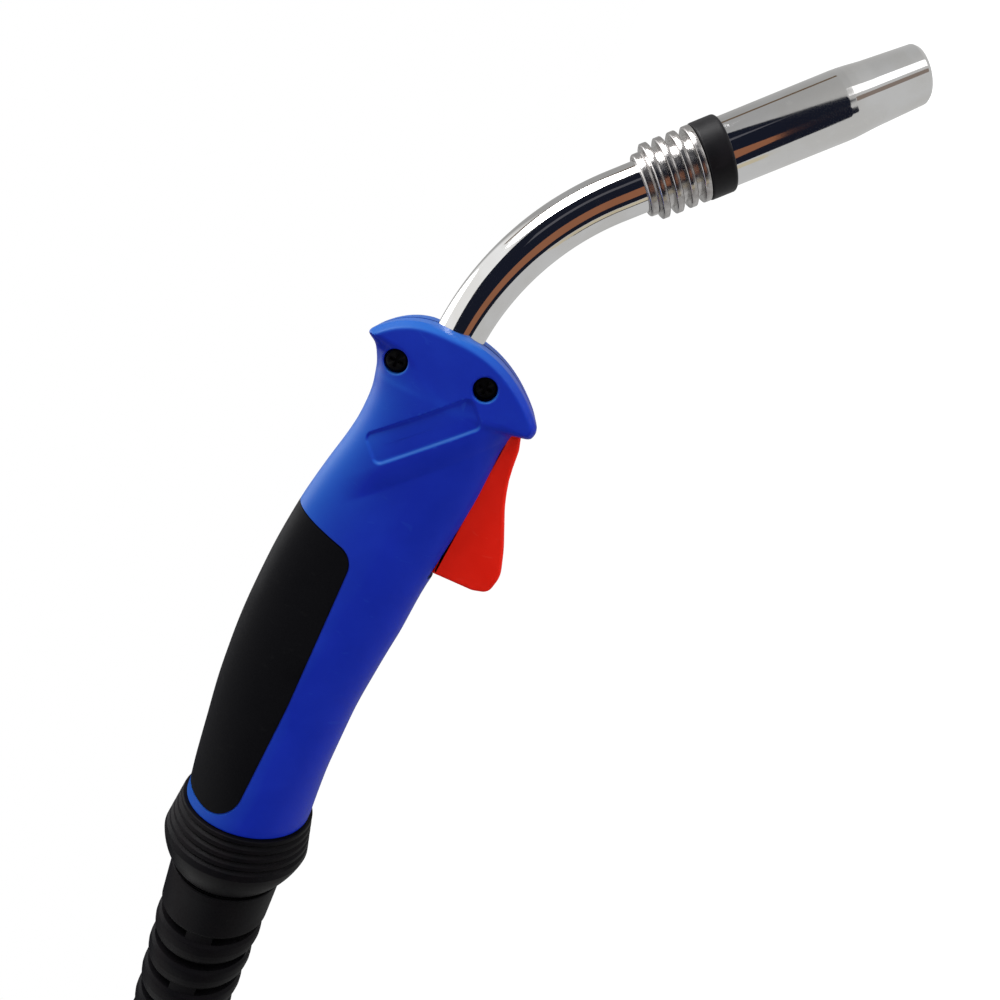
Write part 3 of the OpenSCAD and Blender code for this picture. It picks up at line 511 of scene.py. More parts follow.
def gripTables():  # every line of the grip on a fine row of x, behind the nose a little softened
    x = np.arange(-172, grip["front"] + 0.001, 0.1)
    across, width, square, tilt = zip(*grip["sides"])
    tables = [zip(*grip["lower"]), zip(*grip["upper"]), (across, width)]
    lower, upper, half = [np.where(x > end, law, throughPoints(x, *table))
                          for end, law, table in zip(grip["noseEnds"], noseLaws(x), tables)]
    square = np.where(x > -8, 3.4 + 0.4 * np.clip((x + 8) / 8, 0, 1), throughPoints(x, across, square))
    tilt = throughPoints(x, across, tilt)
    behind = np.clip((-16 - x) / 8, 0, 1)
    lines = [line + behind * (softened(line, 60, 25) - line) for line in (lower, upper, half, square, tilt)]
    return x, lines


tableX, tableLines = gripTables()


def gripLines(x):
    return [np.interp(x, tableX, line) for line in tableLines]


def noseLines(x):  # close to the front edge the laws are used as they are, the table is too coarse there
    *lines, square, tilt = gripLines(x)
    near = grip["front"] - x < grip["lawDepth"]
    lower, upper, half = [np.where(near, law, line) for law, line in zip(noseLaws(x), lines)]
    return lower, upper, half, square, np.radians(tilt)


# the hood's rim: a sloped strip all along its front edge, then a small round to the front
hoodRim = {"edge": 14.7, "slope": 1.5, "round": 0.8, "blend": 3.4, "widest": 0.985, "tip": 0.55, "rear": -16,
           "fade": 4}


def rimCurve():  # the hood's front edge in the side view, from its peak round to its lower tip
    depth = np.concatenate([np.geomspace(0.0005, 1.2, 40), np.arange(1.3, 22, 0.12)])
    lower, upper = noseLines(grip["front"] - depth)[:2]
    x = grip["front"] - depth
    return np.concatenate([np.stack([x, upper], 1)[::-1], np.stack([x, lower], 1)])


def hoodSide(x, z, plain, half):  # the half width in the side view with the hood's rim worked in
    curve = rimCurve()
    start, run = curve[:-1], np.diff(curve, axis=0)
    length = np.maximum((run ** 2).sum(axis=1), 1e-12)
    place = np.stack([x, z], axis=-1).reshape(-1, 2)
    plain, half = np.broadcast_to(plain, x.shape).ravel(), np.broadcast_to(half, x.shape).ravel()
    result = plain.copy()
    near = np.nonzero(place[:, 0] > hoodRim["rear"])[0]
    for part in np.array_split(near, max(1, len(near) // 1000)):
        if not len(part):
            continue
        away = place[part][:, None, :] - start[None]
        t = np.clip((away * run).sum(axis=2) / length, 0, 1)
        inside = np.sqrt(((away - t[:, :, None] * run) ** 2).sum(axis=2).min(axis=1))
        strip = hoodRim["edge"] + hoodRim["slope"] * inside
        blend = hoodRim["blend"]
        soft = -np.logaddexp(-blend * hoodRim["widest"] * grip["half"], -blend * strip) / blend
        tip = 1 - np.clip(plain[part] / half[part] / hoodRim["tip"], 0, 1)
        front = 1 - np.clip((grip["front"] - place[part, 0]) / hoodRim["round"], 0, 1)
        hood = soft * np.sqrt((1 - tip ** 2) * (1 - front ** 2))
        since = -15 + 8.5 * smooth((place[part, 1] + 5) / 20)
        share = smooth((place[part, 0] - since) / hoodRim["fade"])
        result[part] = plain[part] + share * (hood - plain[part])
    return result.reshape(x.shape)


def gripGrid(x, angles, cut=0.0, side=1.0):  # points of the grip's surface, a given cut below the outside
    lower, upper, half, square, tilt = (line[:, None] for line in noseLines(x))
    c = np.cos(np.radians(angles))[None, :]
    s = np.sin(np.radians(angles))[None, :]
    reach = (np.abs(c) ** square + np.abs(s) ** square) ** (-1 / square)
    across = side * (half - cut) * reach * c
    up = (lower + upper) / 2 + ((upper - lower) / 2 - cut) * reach * s
    if cut == 0:
        across = side * hoodSide(x[:, None] + 0 * up, up, side * across, half)
    return np.stack([x[:, None] - up * np.sin(tilt), across, up * np.cos(tilt)], axis=2)


def sideOf(x, z):  # half width of the grip at a place in its side view
    station = np.array(x, float)
    for _ in range(4):
        lower, upper, half, square, tilt = noseLines(station)
        up = z / np.cos(tilt)
        station = x + up * np.sin(tilt)
    middle = (lower + upper) / 2
    share = np.clip(np.abs(up - middle) / ((upper - lower) / 2), 0, 0.9999)
    return hoodSide(station, up, half * (1 - share ** square) ** (1 / square), half)


def dents(points):  # how far the valley under the panel and the parting line lie below the plain form
    u = math.cos(slope) * points[:, :, 0] - math.sin(slope) * points[:, :, 2]
    v = math.sin(slope) * points[:, :, 0] + math.cos(slope) * points[:, :, 2]
    below = np.clip(grip["valleyStart"] - v, 0, grip["valleyWidth"]) / grip["valleyWidth"]
    depth = grip["valley"] * below ** 1.7 * smooth((u + 48) / 18) * smooth((14 - u) / 10)
    away = np.abs(points[:, :, 1])
    return depth + grip["seam"] * np.clip(1 - away / grip["seamWidth"], 0, 1) ** 1.5


def fineStations():  # where the sections lie, closest at both ends
    front = [0.005, 0.03, 0.1, 0.22, 0.4, 0.65, 0.95, 1.3, 1.7, 2.1]
    rear = [-166.4, -166.7, -166.88, -167]
    return np.concatenate([grip["front"] - np.array(front), np.arange(4.25, -42, -0.45),
                           np.arange(-42.2, -166.3, -0.8), rear])


def fineAngles():
    edge = [90 - a for a in (0.1, 0.4, 0.95, 1.9, 3.1)]
    return np.array([-a for a in edge] + list(np.linspace(-85.6, 85.6, 139)) + edge[::-1])


def halfBody(name, side):  # the outside of one half as a closed solid
    xs = fineStations()
    angles = fineAngles()
    rearRound = 0.3 * (1 - np.sqrt(1 - np.clip((-166.6 - xs) / 0.4, 0, 1) ** 2))
    points = gripGrid(xs, angles, 0.0, side)
    normal = np.cross(np.gradient(points, axis=1), np.gradient(points, axis=0))
    normal *= np.sign((normal[:, :, 1] * side).sum())
    normal /= np.linalg.norm(normal, axis=2)[:, :, None]
    points = points - normal * (dents(points) + rearRound[:, None])[:, :, None]
    return faceOut(newPiece(name, points.reshape(-1, 3), tubeFaces(len(xs), len(angles))))


def gripCore(name, cut, front, rear, step=1.2):  # the grip's form a given cut below the outside, all round
    xs = np.arange(front, rear - 0.01, -step)
    angles = np.arange(0, 360, 2.0)
    points = gripGrid(xs, angles, cut)
    return faceOut(newPiece(name, points.reshape(-1, 3), tubeFaces(len(xs), len(angles))))


# what is sunk in the side of the hood: the bare label panel and the two screw recesses
panel = {"at": (-22.6, -2.0), "long": 34.0, "wide": 9.9, "corner": 2.4, "turn": -slope,
         "rim": [(0.6, -0.8), (0.3, 0.0), (0.12, 0.04), (-0.1, 0.14), (-0.33, 0.33), (-0.55, 0.53),
                 (-0.78, 0.66), (-1.05, 0.7)]}
screws = {"places": [(-7.4, 13.4), (-3.8, -13.2)], "seat": 9.0, "head": 3.3, "height": 4.0, "shank": 1.6,
          "length": 20.0, "recess": 3.65, "crossShare": 0.64, "crossHalf": 0.5, "crossDepth": 2.2,
          "rim": [(0.9, -0.8), (0.55, 0.0), (0.3, 0.06), (0.12, 0.2), (0.02, 0.42), (0.0, 0.75)]}


def drawnIn(outline, grow):  # moves an outline out by grow, or in where it is negative
    points = np.array(outline, float)
    run = np.roll(points, -1, axis=0) - np.roll(points, 1, axis=0)
    run /= np.linalg.norm(run, axis=1)[:, None]
    out = np.stack([run[:, 1], -run[:, 0]], axis=1)
    x, z = points.T
    if np.sum(x * np.roll(z, -1) - np.roll(x, -1) * z) < 0:
        out = -out
    return points + out * grow


def sinkOutline(at, long, wide, r, turn):
    a, b = long / 2, wide / 2
    outline = eased(rounded([(a, b, r), (-a, b, r), (-a, -b, r), (a, -b, r)], stepAngle=9), 0.25, 1.0)
    c, s = math.cos(turn), math.sin(turn)
    return [(at[0] + x * c - z * s, at[1] + x * s + z * c) for x, z in outline]


def sinkTool(name, side, at, long, wide, corner, turn, rim, floor=None):  # a cutter that follows the side
    loops = []
    outline = sinkOutline(at, long, wide, corner, turn)
    for grow, depth in rim:
        x, z = drawnIn(outline, grow).T
        loops.append(np.stack([x, side * (sideOf(x, z) - depth), z], axis=1))
    top = loops[0].copy()
    top[:, 1] = side * 30
    loops.insert(0, top)
    if floor is not None:
        bottom = loops[-1].copy()
        bottom[:, 1] = side * floor
        loops.append(bottom)
    else:  # the floor closes in on the middle line and stays at its depth below the side
        lined = np.array((math.cos(turn), math.sin(turn)))
        edge = loops[-1][:, [0, 2]] - at
        along = np.clip(edge @ lined, wide / 2 - long / 2, long / 2 - wide / 2)
        middle = along[:, None] * lined
        for share in (0.12, 0.3, 0.5, 0.7, 0.85, 0.95, 0.99):
            x, z = (at + edge + share * (middle - edge)).T
            loops.append(np.stack([x, side * (sideOf(x, z) - rim[-1][1]), z], axis=1))
    return faceOut(newPiece(name, np.concatenate(loops), tubeFaces(len(loops), len(top))))

# soft grip covers over the rear of the palm side
cover = {"outline": [(-57, 35, 0), (-66.4, 1.2, 7), (-120, 0.9, 80), (-164.8, 2.6, 10), (-163.4, 35, 0)],
         "thick": 1.4, "groove": 0.3, "grooveDepth": 0.3, "gap": 0.05, "edgeGap": 0.02}


def coverPrism(name, side, grow):
    outline = drawnIn(rounded(cover["outline"], stepAngle=5), grow)
    return prism(name, outline, 0 if grow <= 0 else -side * 0.5, side * 40)


def coverCore(name, cut):  # what lies deeper than cut below the grip's surface, along the covers
    return gripCore(name, cut, -45, -172)


def seamTool(side):  # a shallow groove along the edge of a cover
    tool = coverPrism("seamOut", side, cover["groove"])
    inside = coverPrism("seamIn", side, -cover["groove"])
    return carve(tool, [inside, coverCore("seamCore", cover["grooveDepth"])])


# what is cut out of the halves: the trigger's way, and the rooms for the neck and the rear collar
opening = {"low": (-66.3, -8.2, -34.0), "high": (-12.7, 8.2, -20.8), "neck": 7.6,
           "rear": 18.4, "collar": 20.2}


def makeHalf(side, label):
    body = halfBody("shell_" + label + "_form", side)
    soft = twin(body, "cover_" + label)
    recess = coverPrism("recess", side, cover["edgeGap"])
    carve(recess, [coverCore("recessCore", cover["thick"] + cover["gap"]),
                   rod("collarKeep", tailAxis(), opening["collar"], -8, 12)])
    seam = seamTool(side)
    hollow = gripCore("hollow", torch["wall"], -0.2, -158)
    tools = [hollow, rod("rearBore", tailAxis(), opening["rear"], -16, 10),
             rod("neckHole", alongAxis, opening["neck"], -60, 20, 96),
             block("triggerWay", opening["low"], opening["high"]), recess,
             sinkTool("panelTool", side, **panel)]
    if side < 0:
        for k, place in enumerate(screws["places"]):
            r = screws["recess"]
            tools.append(sinkTool(f"recess{k}", side, place, 2 * r, 2 * r, r - 0.01, 0, screws["rim"],
                                  screws["seat"]))
    carve(body, tools)
    carve(body, [seam], keep=True)
    carve(soft, [coverPrism("coverCut", side, 0)], how='INTERSECT')
    carve(soft, [coverCore("coverCore", cover["thick"]), seam])
    body.name = "shell_" + label + "_moulding"
    finishPiece(body, finish["shellBlue"], "handle", ["shell_" + label])
    finishPiece(soft, finish["gripBlack"], "handle", ["grip_" + label])


makeHalf(-1, "left")
makeHalf(1, "right")
print("hand grip done")

# trigger: its side view as corners, then rounded over its long edges
trigger = {"half": 7.7, "edge": 1.1, "crown": 0.3,
           "outline": [(-13.1, -23.4, 2), (-13.1, -29.5, 1.0), (-17.5, -30.9, 6), (-27.2, -31.9, 40),
                       (-36, -34.7, 40), (-48.5, -40.3, 40), (-56.2, -42.9, 9), (-62.6, -41.6, 3.4),
                       (-64, -36.6, 6), (-64, -22.5, 0.6), (-21, -22.5, 1), (-16, -21.9, 1)],
           "pivot": (-17, -24.6), "lip": [(-64.4, -23.4), (-64.4, -21.2), (-68.2, -21.2), (-68.2, -19.6),
                                          (-62.4, -19.6), (-62.4, -23.4)],
           "lipHalf": 5, "pinHole": 1.55, "pin": 1.5, "pinHalf": 8.1, "springHole": 4.2, "springFloor": -24.9,
           "hollow": ((-52, -5.7, -25.5), (-37, 5.7, -15))}

# return spring between the lever and the shells
returnSpring = {"at": -59.3, "foot": -24.8, "seat": -12.9, "radius": 2.65, "wire": 0.35, "turns": 6,
                "gap": 0.1, "kept": 0.66, "steps": 28, "sides": 10}


def makeTrigger():
    outline = eased(rounded(trigger["outline"], stepAngle=6), 0.4, 1.5)
    edge = trigger["edge"]
    inset = [(edge * (1 - math.cos(a)), trigger["half"] - edge * (1 - math.sin(a)))
             for a in np.radians(np.linspace(0, 90, 7))]
    rows = [(drawIn, -across) for drawIn, across in inset[::-1]]
    rows += [(0.0, y) for y in np.linspace(-trigger["half"] + edge, trigger["half"] - edge, 9)[1:-1]] + inset
    points = []
    for draw, y in rows:
        loop = drawnIn(outline, -draw)
        low = smooth((-24 - loop[:, 1]) / 6)
        loop[:, 1] += trigger["crown"] * low * (y / trigger["half"]) ** 2
        points += [(x, y, z) for x, z in loop]
    piece = faceOut(newPiece("trigger_lever", points, tubeFaces(len(rows), len(outline))))
    carve(piece, [prism("lip", trigger["lip"], -trigger["lipHalf"], trigger["lipHalf"])], how='UNION')
    x, z = trigger["pivot"]
    pivot = Matrix.Translation((x, 0, z)) @ acrossAxis
    springWay = Matrix.Translation((returnSpring["at"], 0, 0))
    carve(piece, [rod("pinHole", pivot, trigger["pinHole"], -20, 20, 48),
                  rod("springHole", springWay, trigger["springHole"], trigger["springFloor"], 0, 48),
                  block("hollow", *trigger["hollow"])])
    finishPiece(piece, finish["triggerRed"], "trigger", ["trigger"], sharp=40)
    r, half = trigger["pin"], trigger["pinHalf"]
    pin = turned("pivot_pin", [(0, -half, 0), (r, -half, 0.35), (r, half, 0.35), (0, half, 0)], pivot, 48)
    finishPiece(pin, finish["springSteel"], "handle", ["trigger_pin"])


makeTrigger()


def makeSpring():
    s = returnSpring
    count, sides = s["turns"] * s["steps"], s["sides"]
    low, high = s["foot"] + s["wire"], s["seat"] - s["wire"] - s["gap"]
    points = []
    for i in range(count + 1):
        turn = 2 * math.pi * i / s["steps"]
        for k in range(sides):
            around = 2 * math.pi * k / sides
            r = s["radius"] + s["wire"] * math.cos(around)
            points.append((s["at"] + r * math.cos(turn), r * math.sin(turn),
                           low + (high - low) * i / count + s["wire"] * math.sin(around)))
    spring = faceOut(newPiece("return_spring", points, tubeFaces(count + 1, sides)))
    finishPiece(spring, finish["springSteel"], "handle", ["trigger_spring"])
    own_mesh(spring)


makeSpring()
print("trigger done")


# geometry trees: one repeats a form in a row, one sweeps the neck along its bend
def paintedOut(tree, given, mesh):  # the end of a geometry tree: real geometry with its material
    real = put(tree, 'GeometryNodeRealizeInstances', {0: mesh})
    painted = put(tree, 'GeometryNodeSetMaterial', {"Geometry": real.outputs[0],
                                                    "Material": given["Material"]})
    put(tree, 'NodeGroupOutput', {"Geometry": painted.outputs[0]})
    return tree


def makeRowTree():
    tree, given = newTree("formInARow", 'Geometry', [
        ("Form", 'Object', None), ("Count", 'Int', 2), ("Start", 'Vector', (0, 0, 0)),
        ("Step", 'Vector', (0, 0, 1)), ("Turn", 'Float', 0.0), ("Material", 'Material', None)],
        [("Geometry", 'Geometry')])
    line = put(tree, 'GeometryNodeMeshLine', {"Count": given["Count"], "Start Location": given["Start"],
                                              "Offset": given["Step"]}, mode='OFFSET')
    form = put(tree, 'GeometryNodeObjectInfo', {"Object": given["Form"]}, transform_space='ORIGINAL')
    index = tree.nodes.new('GeometryNodeInputIndex').outputs[0]
    turn = put(tree, 'ShaderNodeCombineXYZ', {"Z": calc(tree, 'MULTIPLY', index, given["Turn"])})
    placed = put(tree, 'GeometryNodeInstanceOnPoints', {
        "Points": line.outputs[0], "Instance": form.outputs["Geometry"], "Rotation": turn.outputs[0]})
    return paintedOut(tree, given, placed.outputs[0])


def makeNeckTree():
    tree, given = newTree("bentNeck", 'Geometry', [
        ("Straight back", 'Float', 28.0), ("Straight front", 'Float', 16.0), ("Bend", 'Float', 0.76),
        ("Bend radius", 'Float', 88.6), ("Tube radius", 'Float', 7.5), ("Rings", 'Int', 120),
        ("Sides", 'Int', 96), ("Material", 'Material', None)], [("Geometry", 'Geometry')])
    line = put(tree, 'GeometryNodeMeshLine', {"Count": given["Rings"], "Offset": (0, 0, 0)}, mode='OFFSET')
    radius = given["Bend radius"]
    arc = calc(tree, 'MULTIPLY', given["Bend"], radius)
    whole = calc(tree, 'ADD', calc(tree, 'ADD', given["Straight back"], arc), given["Straight front"])
    share = calc(tree, 'DIVIDE', tree.nodes.new('GeometryNodeInputIndex').outputs[0],
                 calc(tree, 'SUBTRACT', given["Rings"], 1.0))
    along = calc(tree, 'SUBTRACT', calc(tree, 'MULTIPLY', whole, share), given["Straight back"])
    behind = calc(tree, 'MINIMUM', along, 0.0)
    angle = calc(tree, 'DIVIDE', calc(tree, 'MINIMUM', calc(tree, 'MAXIMUM', along, 0.0), arc), radius)
    ahead = calc(tree, 'MAXIMUM', calc(tree, 'SUBTRACT', along, arc), 0.0)
    sinA, cosA = calc(tree, 'SINE', angle), calc(tree, 'COSINE', angle)
    x = calc(tree, 'ADD', calc(tree, 'ADD', behind, calc(tree, 'MULTIPLY', radius, sinA)),
             calc(tree, 'MULTIPLY', ahead, cosA))
    fall = calc(tree, 'MULTIPLY', radius, calc(tree, 'SUBTRACT', cosA, 1.0))
    z = calc(tree, 'SUBTRACT', fall, calc(tree, 'MULTIPLY', ahead, sinA))
    where = put(tree, 'ShaderNodeCombineXYZ', {"X": x, "Z": z})
    moved = put(tree, 'GeometryNodeSetPosition', {"Geometry": line.outputs[0], "Position": where.outputs[0]})
    path = put(tree, 'GeometryNodeMeshToCurve', {0: moved.outputs[0]})
    ring = put(tree, 'GeometryNodeCurvePrimitiveCircle', {"Resolution": given["Sides"],
                                                          "Radius": given["Tube radius"]})
    tube = put(tree, 'GeometryNodeCurveToMesh', {"Curve": path.outputs[0], "Profile Curve": ring.outputs[0]})
    return paintedOut(tree, given, tube.outputs[0])


rowTree = makeRowTree()
neckTree = makeNeckTree()


# screws: a cap head with a cross recess and a shank, one form set in both places
def makeScrews():
    s = screws
    form = turned("screwForm", [(0, 0, 0), (s["head"], 0, 0.25), (s["head"], s["height"], 0.7),
                                (0, s["height"], 0)], still, 72)
    shank = rod("shank", still, s["shank"], s["seat"] - s["length"], 0.5, 40)
    carve(form, [shank], how='UNION')
    arm, half = s["head"] * s["crossShare"], s["crossHalf"]
    for a, b in ((arm, half), (half, arm)):
        carve(form, [block("cross", (-a, -b, s["height"] - s["crossDepth"]), (a, b, 9))])
    form.data.transform(acrossAxis)
    first, second = s["places"]
    row = byTree("shell_screw_pair", rowTree, {
        "Form": form, "Count": 2, "Start": (first[0], -s["seat"], first[1]),
        "Step": (second[0] - first[0], 0, second[1] - first[1]), "Material": finish["screwBlack"]})
    discard(form)
    finishPiece(row, finish["screwBlack"], "handle", ["shell_screws"])


makeScrews()

# neck tube
neck = {"back": 28.0, "front": 16.1, "wall": 1.2}


def makeNeck():
    tube = byTree("neck_bend", neckTree, {
        "Straight back": neck["back"], "Straight front": neck["front"], "Bend": math.radians(torch["bend"]),
        "Bend radius": torch["bendRadius"], "Tube radius": torch["neckRadius"], "Rings": 140, "Sides": 112,
        "Material": finish["brightPlate"]})
    wall = tube.modifiers.new("wall", 'SOLIDIFY')
    wall.thickness = neck["wall"]
    wall.offset = -1
    settle(tube)
    faceOut(tube)
    finishPiece(tube, finish["brightPlate"], "handle", ["neck_tube"], sharp=50)


makeNeck()
print("neck done")

# cooling fins: four rounded discs on a core
fins = {"outer": 11.1, "core": 8.8, "length": 17.85, "first": 4.15, "pitch": 4.2, "thick": 2.2, "count": 4,
        "bore": 7.55, "frontBore": 6.3, "boreEnd": 8.4, "step": 0.35, "stepEnd": 2.2}


def makeFins():
    f = fins
    core = turned("fin_disc_stack", [
        (f["bore"], 0, 0.2), (f["core"] + f["step"], 0, 0.7), (f["core"] + f["step"], f["stepEnd"], 0.5),
        (f["core"], 2.7, 0.3), (f["core"], f["length"], 0.1), (f["frontBore"], f["length"], 0),
        (f["frontBore"], f["boreEnd"], 0), (f["bore"], f["boreEnd"], 0)], still, 144)
    half = f["thick"] / 2
    disc = turned("disc", [
        (f["core"] - 0.8, -half - 0.1, 0), (f["outer"] - 0.15, -half, 0.75), (f["outer"], 0, 6),
        (f["outer"] - 0.15, half, 0.75), (f["core"] - 0.8, half + 0.1, 0)], still, 144, margin=0.12)
    row = byTree("discs", rowTree, {"Form": disc, "Count": f["count"], "Start": (0, 0, f["first"]),
                                    "Step": (0, 0, f["pitch"]), "Material": finish["finPlate"]})
    discard(disc)
    carve(core, [row], how='UNION')
    carve(core, [rod("bore", still, f["frontBore"], -2, f["length"] + 2, 96)])
    core.data.transform(frontAxis(torch["finStart"]))
    finishPiece(core, finish["finPlate"], "handle", ["fin_body"], sharp=40)


makeFins()

# insulator ring, with the counterbore that the nozzle's tail sits in
insulator = {"outer": 11.2, "length": 7.5, "bore": 6.3, "seat": 10.24, "seatAt": 2.0}


def makeInsulator():
    i = insulator
    ring = turned("insulator_collar", [
        (i["bore"], 0, 0), (i["outer"], 0, 0.55), (i["outer"], i["length"], 1.0),
        (i["seat"], i["length"], 0.15), (i["seat"], i["seatAt"], 0), (i["bore"], i["seatAt"], 0)],
        frontAxis(torch["ringStart"]), 144, margin=0.12)
    finishPiece(ring, finish["insulatorBlack"], "handle", ["insulator_ring"], sharp=40)


makeInsulator()

# gas nozzle: a drawn cylinder, swaged in to a slim taper
nozzle = {"outer": 10.0, "bore": 8.5, "length": 62.6, "shoulder": 42.8, "mouthBore": 6.25, "mouth": 7.7,
          "lip": 8.45}


def makeNozzle():
    n = nozzle
    piece = turned("nozzle_tube", [
        (n["bore"], 0, 0), (n["outer"], 0, 0.4), (n["outer"], n["shoulder"] - 2, 40),
        (n["outer"] - 0.7, n["shoulder"] + 4.6, 30), (n["lip"], n["length"] - 0.9, 0.7),
        (n["mouth"], n["length"], 0.4), (n["mouthBore"], n["length"], 0.45),
        (n["mouthBore"], n["length"] - 4, 3), (n["bore"], n["shoulder"] - 2, 5)],
        frontAxis(torch["nozzleStart"]), 160, margin=0.3, longest=3)
    finishPiece(piece, finish["brightPlate"], "nozzle", ["gas_nozzle"], sharp=50)


makeNozzle()

# contact tip, with two flats for a spanner
tip = {"outer": 4.0, "thread": 2.5, "threadLength": 6.5, "length": 28.0, "nose": 5.0, "bore": 0.6,
       "flat": 3.5, "flatStart": 8.5, "flatEnd": 13.5}


def makeTip():
    t = tip
    piece = turned("contact_tip_turning", [
        (t["bore"], 0, 0), (t["thread"], 0, 0.4), (t["thread"], t["threadLength"], 0),
        (t["outer"], t["threadLength"], 0.3), (t["outer"], t["length"] - t["nose"], 1.5),
        (t["outer"] - 1.7, t["length"], 0.4), (t["bore"], t["length"], 0.15)], still, 96)
    carve(piece, [block("flat", (low, -6, t["flatStart"]), (high, 6, t["flatEnd"]))
                  for low, high in ((t["flat"], 6), (-6, -t["flat"]))])
    piece.data.transform(frontAxis(torch["tipRear"]))
    finishPiece(piece, finish["drawnCopper"], "tip", ["contact_tip"])


makeTip()
print("front end done")

# locking ring: grooved cone, then a round shoulder over the ball
locking = {"front": 22.2, "shoulder": 25.4, "grooves": 4, "firstGroove": 2.4, "groovePitch": 2.9,
           "grooveDepth": 0.9, "collar": 20.5, "step": 12.0, "socket": 18.3, "opening": 15.5, "flare": 17.6}


def spherePoints(radius, centre, start, end, steps):  # a round stretch of an outline, as sharp corners
    return [(math.sqrt(radius ** 2 - (z - centre) ** 2), z, 0) for z in np.linspace(start, end, steps)]


def makeLocking():
    v = locking
    centre = torch["ballAt"]
    lean = (math.sqrt(v["shoulder"] ** 2 - 36) - v["front"]) / 14
    corners = [(v["collar"], 0.3, 0), (v["front"] + 0.05, 0.3, 0.5)]
    for k in range(v["grooves"]):
        z = v["firstGroove"] + k * v["groovePitch"]
        w = v["grooveDepth"]
        corners += [(v["front"] + lean * (z - w), z - w, 0.35), (v["front"] + lean * z - w, z, 0.12),
                    (v["front"] + lean * (z + w), z + w, 0.35)]
    flareAt = centre + math.sqrt(v["shoulder"] ** 2 - v["flare"] ** 2)
    openingAt = centre + math.sqrt(v["socket"] ** 2 - v["opening"] ** 2)
    corners += spherePoints(v["shoulder"], centre, 14, flareAt - 0.9, 16)
    corners += [(v["flare"], flareAt, 0.5), (v["opening"], openingAt, 0.3)]
    corners += spherePoints(v["socket"], centre, openingAt - 0.6, v["step"], 6)
    corners.append((v["collar"], v["step"], 0))
    piece = turned("locking_collar", corners, tailAxis(), 160, margin=0.1, longest=2)
    finishPiece(piece, finish["ringBlack"], "lock_ring", ["locking_ring"], sharp=40)


makeLocking()

# boot: a cuff behind the ball, then ten barrel ribs between slots, tapering to the cable's end
boot = {"front": 19.0, "end": 13.5, "length": 165.0, "slotAt": 45.0, "pitch": 11.2, "slot": 3.0, "slots": 10,
        "web": 9.0, "bore": 9.7, "tailBore": 12.6, "tailEnd": 42.1, "seat": 25.7, "bulge": 0.45, "sunk": 0.9,
        "slotReach": 26.0}


def makeBoot():
    b = boot
    centre = torch["ballAt"]
    start = centre + math.sqrt(b["seat"] ** 2 - b["front"] ** 2)
    taper = (b["front"] - b["end"]) / (b["length"] - 6 - start)

    def outer(z):
        return b["front"] - taper * (z - start)

    mouth = centre + math.sqrt(b["seat"] ** 2 - b["tailBore"] ** 2)
    corners = spherePoints(b["seat"], centre, mouth, start + 0.6, 8)
    corners += [(b["front"] - 0.15, start - 0.1, 0.5), (outer(start + 4), start + 4, 0)]
    cuffEnd = b["slotAt"] - b["slot"] / 2
    corners += [(outer(cuffEnd) + 0.1, cuffEnd - 1.2, 0.9), (outer(cuffEnd) - b["sunk"], cuffEnd, 0.3)]
    for k in range(b["slots"]):
        rear = b["slotAt"] + k * b["pitch"] + b["slot"] / 2
        last = k == b["slots"] - 1
        ahead = rear + b["pitch"] - b["slot"]
        corners += [(outer(rear) - b["sunk"], rear, 0.3), (outer(rear) - 0.05, rear + 1.3, 1.1)]
        if not last:
            corners += [(outer(rear + 4.1) + b["bulge"], rear + 4.1, 9),
                        (outer(ahead) - 0.05, ahead - 1.3, 1.1), (outer(ahead) - b["sunk"], ahead, 0.3)]
    corners += [(b["end"] + 0.6, b["length"] - 6, 4), (b["end"], b["length"] - 1.2, 1),
                (b["end"] - 1.2, b["length"], 0.5), (b["bore"], b["length"], 0.4),
                (b["bore"], b["tailEnd"], 0), (b["tailBore"], b["tailEnd"], 0)]
    piece = turned("slotted_boot", corners, still, 144, margin=0.25, longest=3)
    reach = b["slotReach"]
    edge = b["web"] / 2
    arc = math.acos(edge / reach)
    sector = rounded([(reach * math.cos(a), reach * math.sin(a), 0) for a in np.linspace(-arc, arc, 24)])
    form = prism("slotForm", sector, -b["slot"] / 2, b["slot"] / 2)
    other = twin(form, "other")
    other.data.transform(Matrix.Rotation(math.pi, 4, 'Y'))
    faceOut(other)
    carve(form, [other], how='UNION')
    form.data.transform(Matrix.Rotation(math.pi / 2, 4, 'X'))
    row = byTree("slots", rowTree, {
        "Form": form, "Count": b["slots"], "Start": (0, 0, b["slotAt"]), "Step": (0, 0, b["pitch"]),
        "Turn": math.pi / 2, "Material": finish["bootRubber"]})
    discard(form)
    carve(piece, [row])
    piece.data.transform(tailAxis())
    finishPiece(piece, finish["bootRubber"], "boot", ["boot"], sharp=40)


makeBoot()
print("rear end done")

# finishes of the solids that stay as they are
carried = {
    "springSteel": "trigger_pin trigger_spring nozzle_spring",
    "turnedBrass": "switch_terminals rear_nut nozzle_sleeve tip_holder",
    "switchBlack": "switch_body neck_block", "triggerRed": "switch_plunger trigger",
    "waxyWhite": "neck_insulation", "drawnCopper": "conductor_tube contact_tip", "bootRubber": "o_ring boot",
    "firedCeramic": "gas_diffuser", "acetalCream": "ball_seat", "ballBlack": "ball",
    "shellBlue": "shell_left shell_right", "gripBlack": "grip_left grip_right", "screwBlack": "shell_screws",
    "brightPlate": "neck_tube gas_nozzle", "finPlate": "fin_body", "insulatorBlack": "insulator_ring",
    "ringBlack": "locking_ring"}
for chosen, names in carried.items():
    for node in (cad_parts[name] for name in names.split()):
        if len(node.material_slots) == 0:
            node.data.materials.append(finish[chosen])
        for slot in node.material_slots:
            slot.material = finish[chosen]
print("carried nodes done")
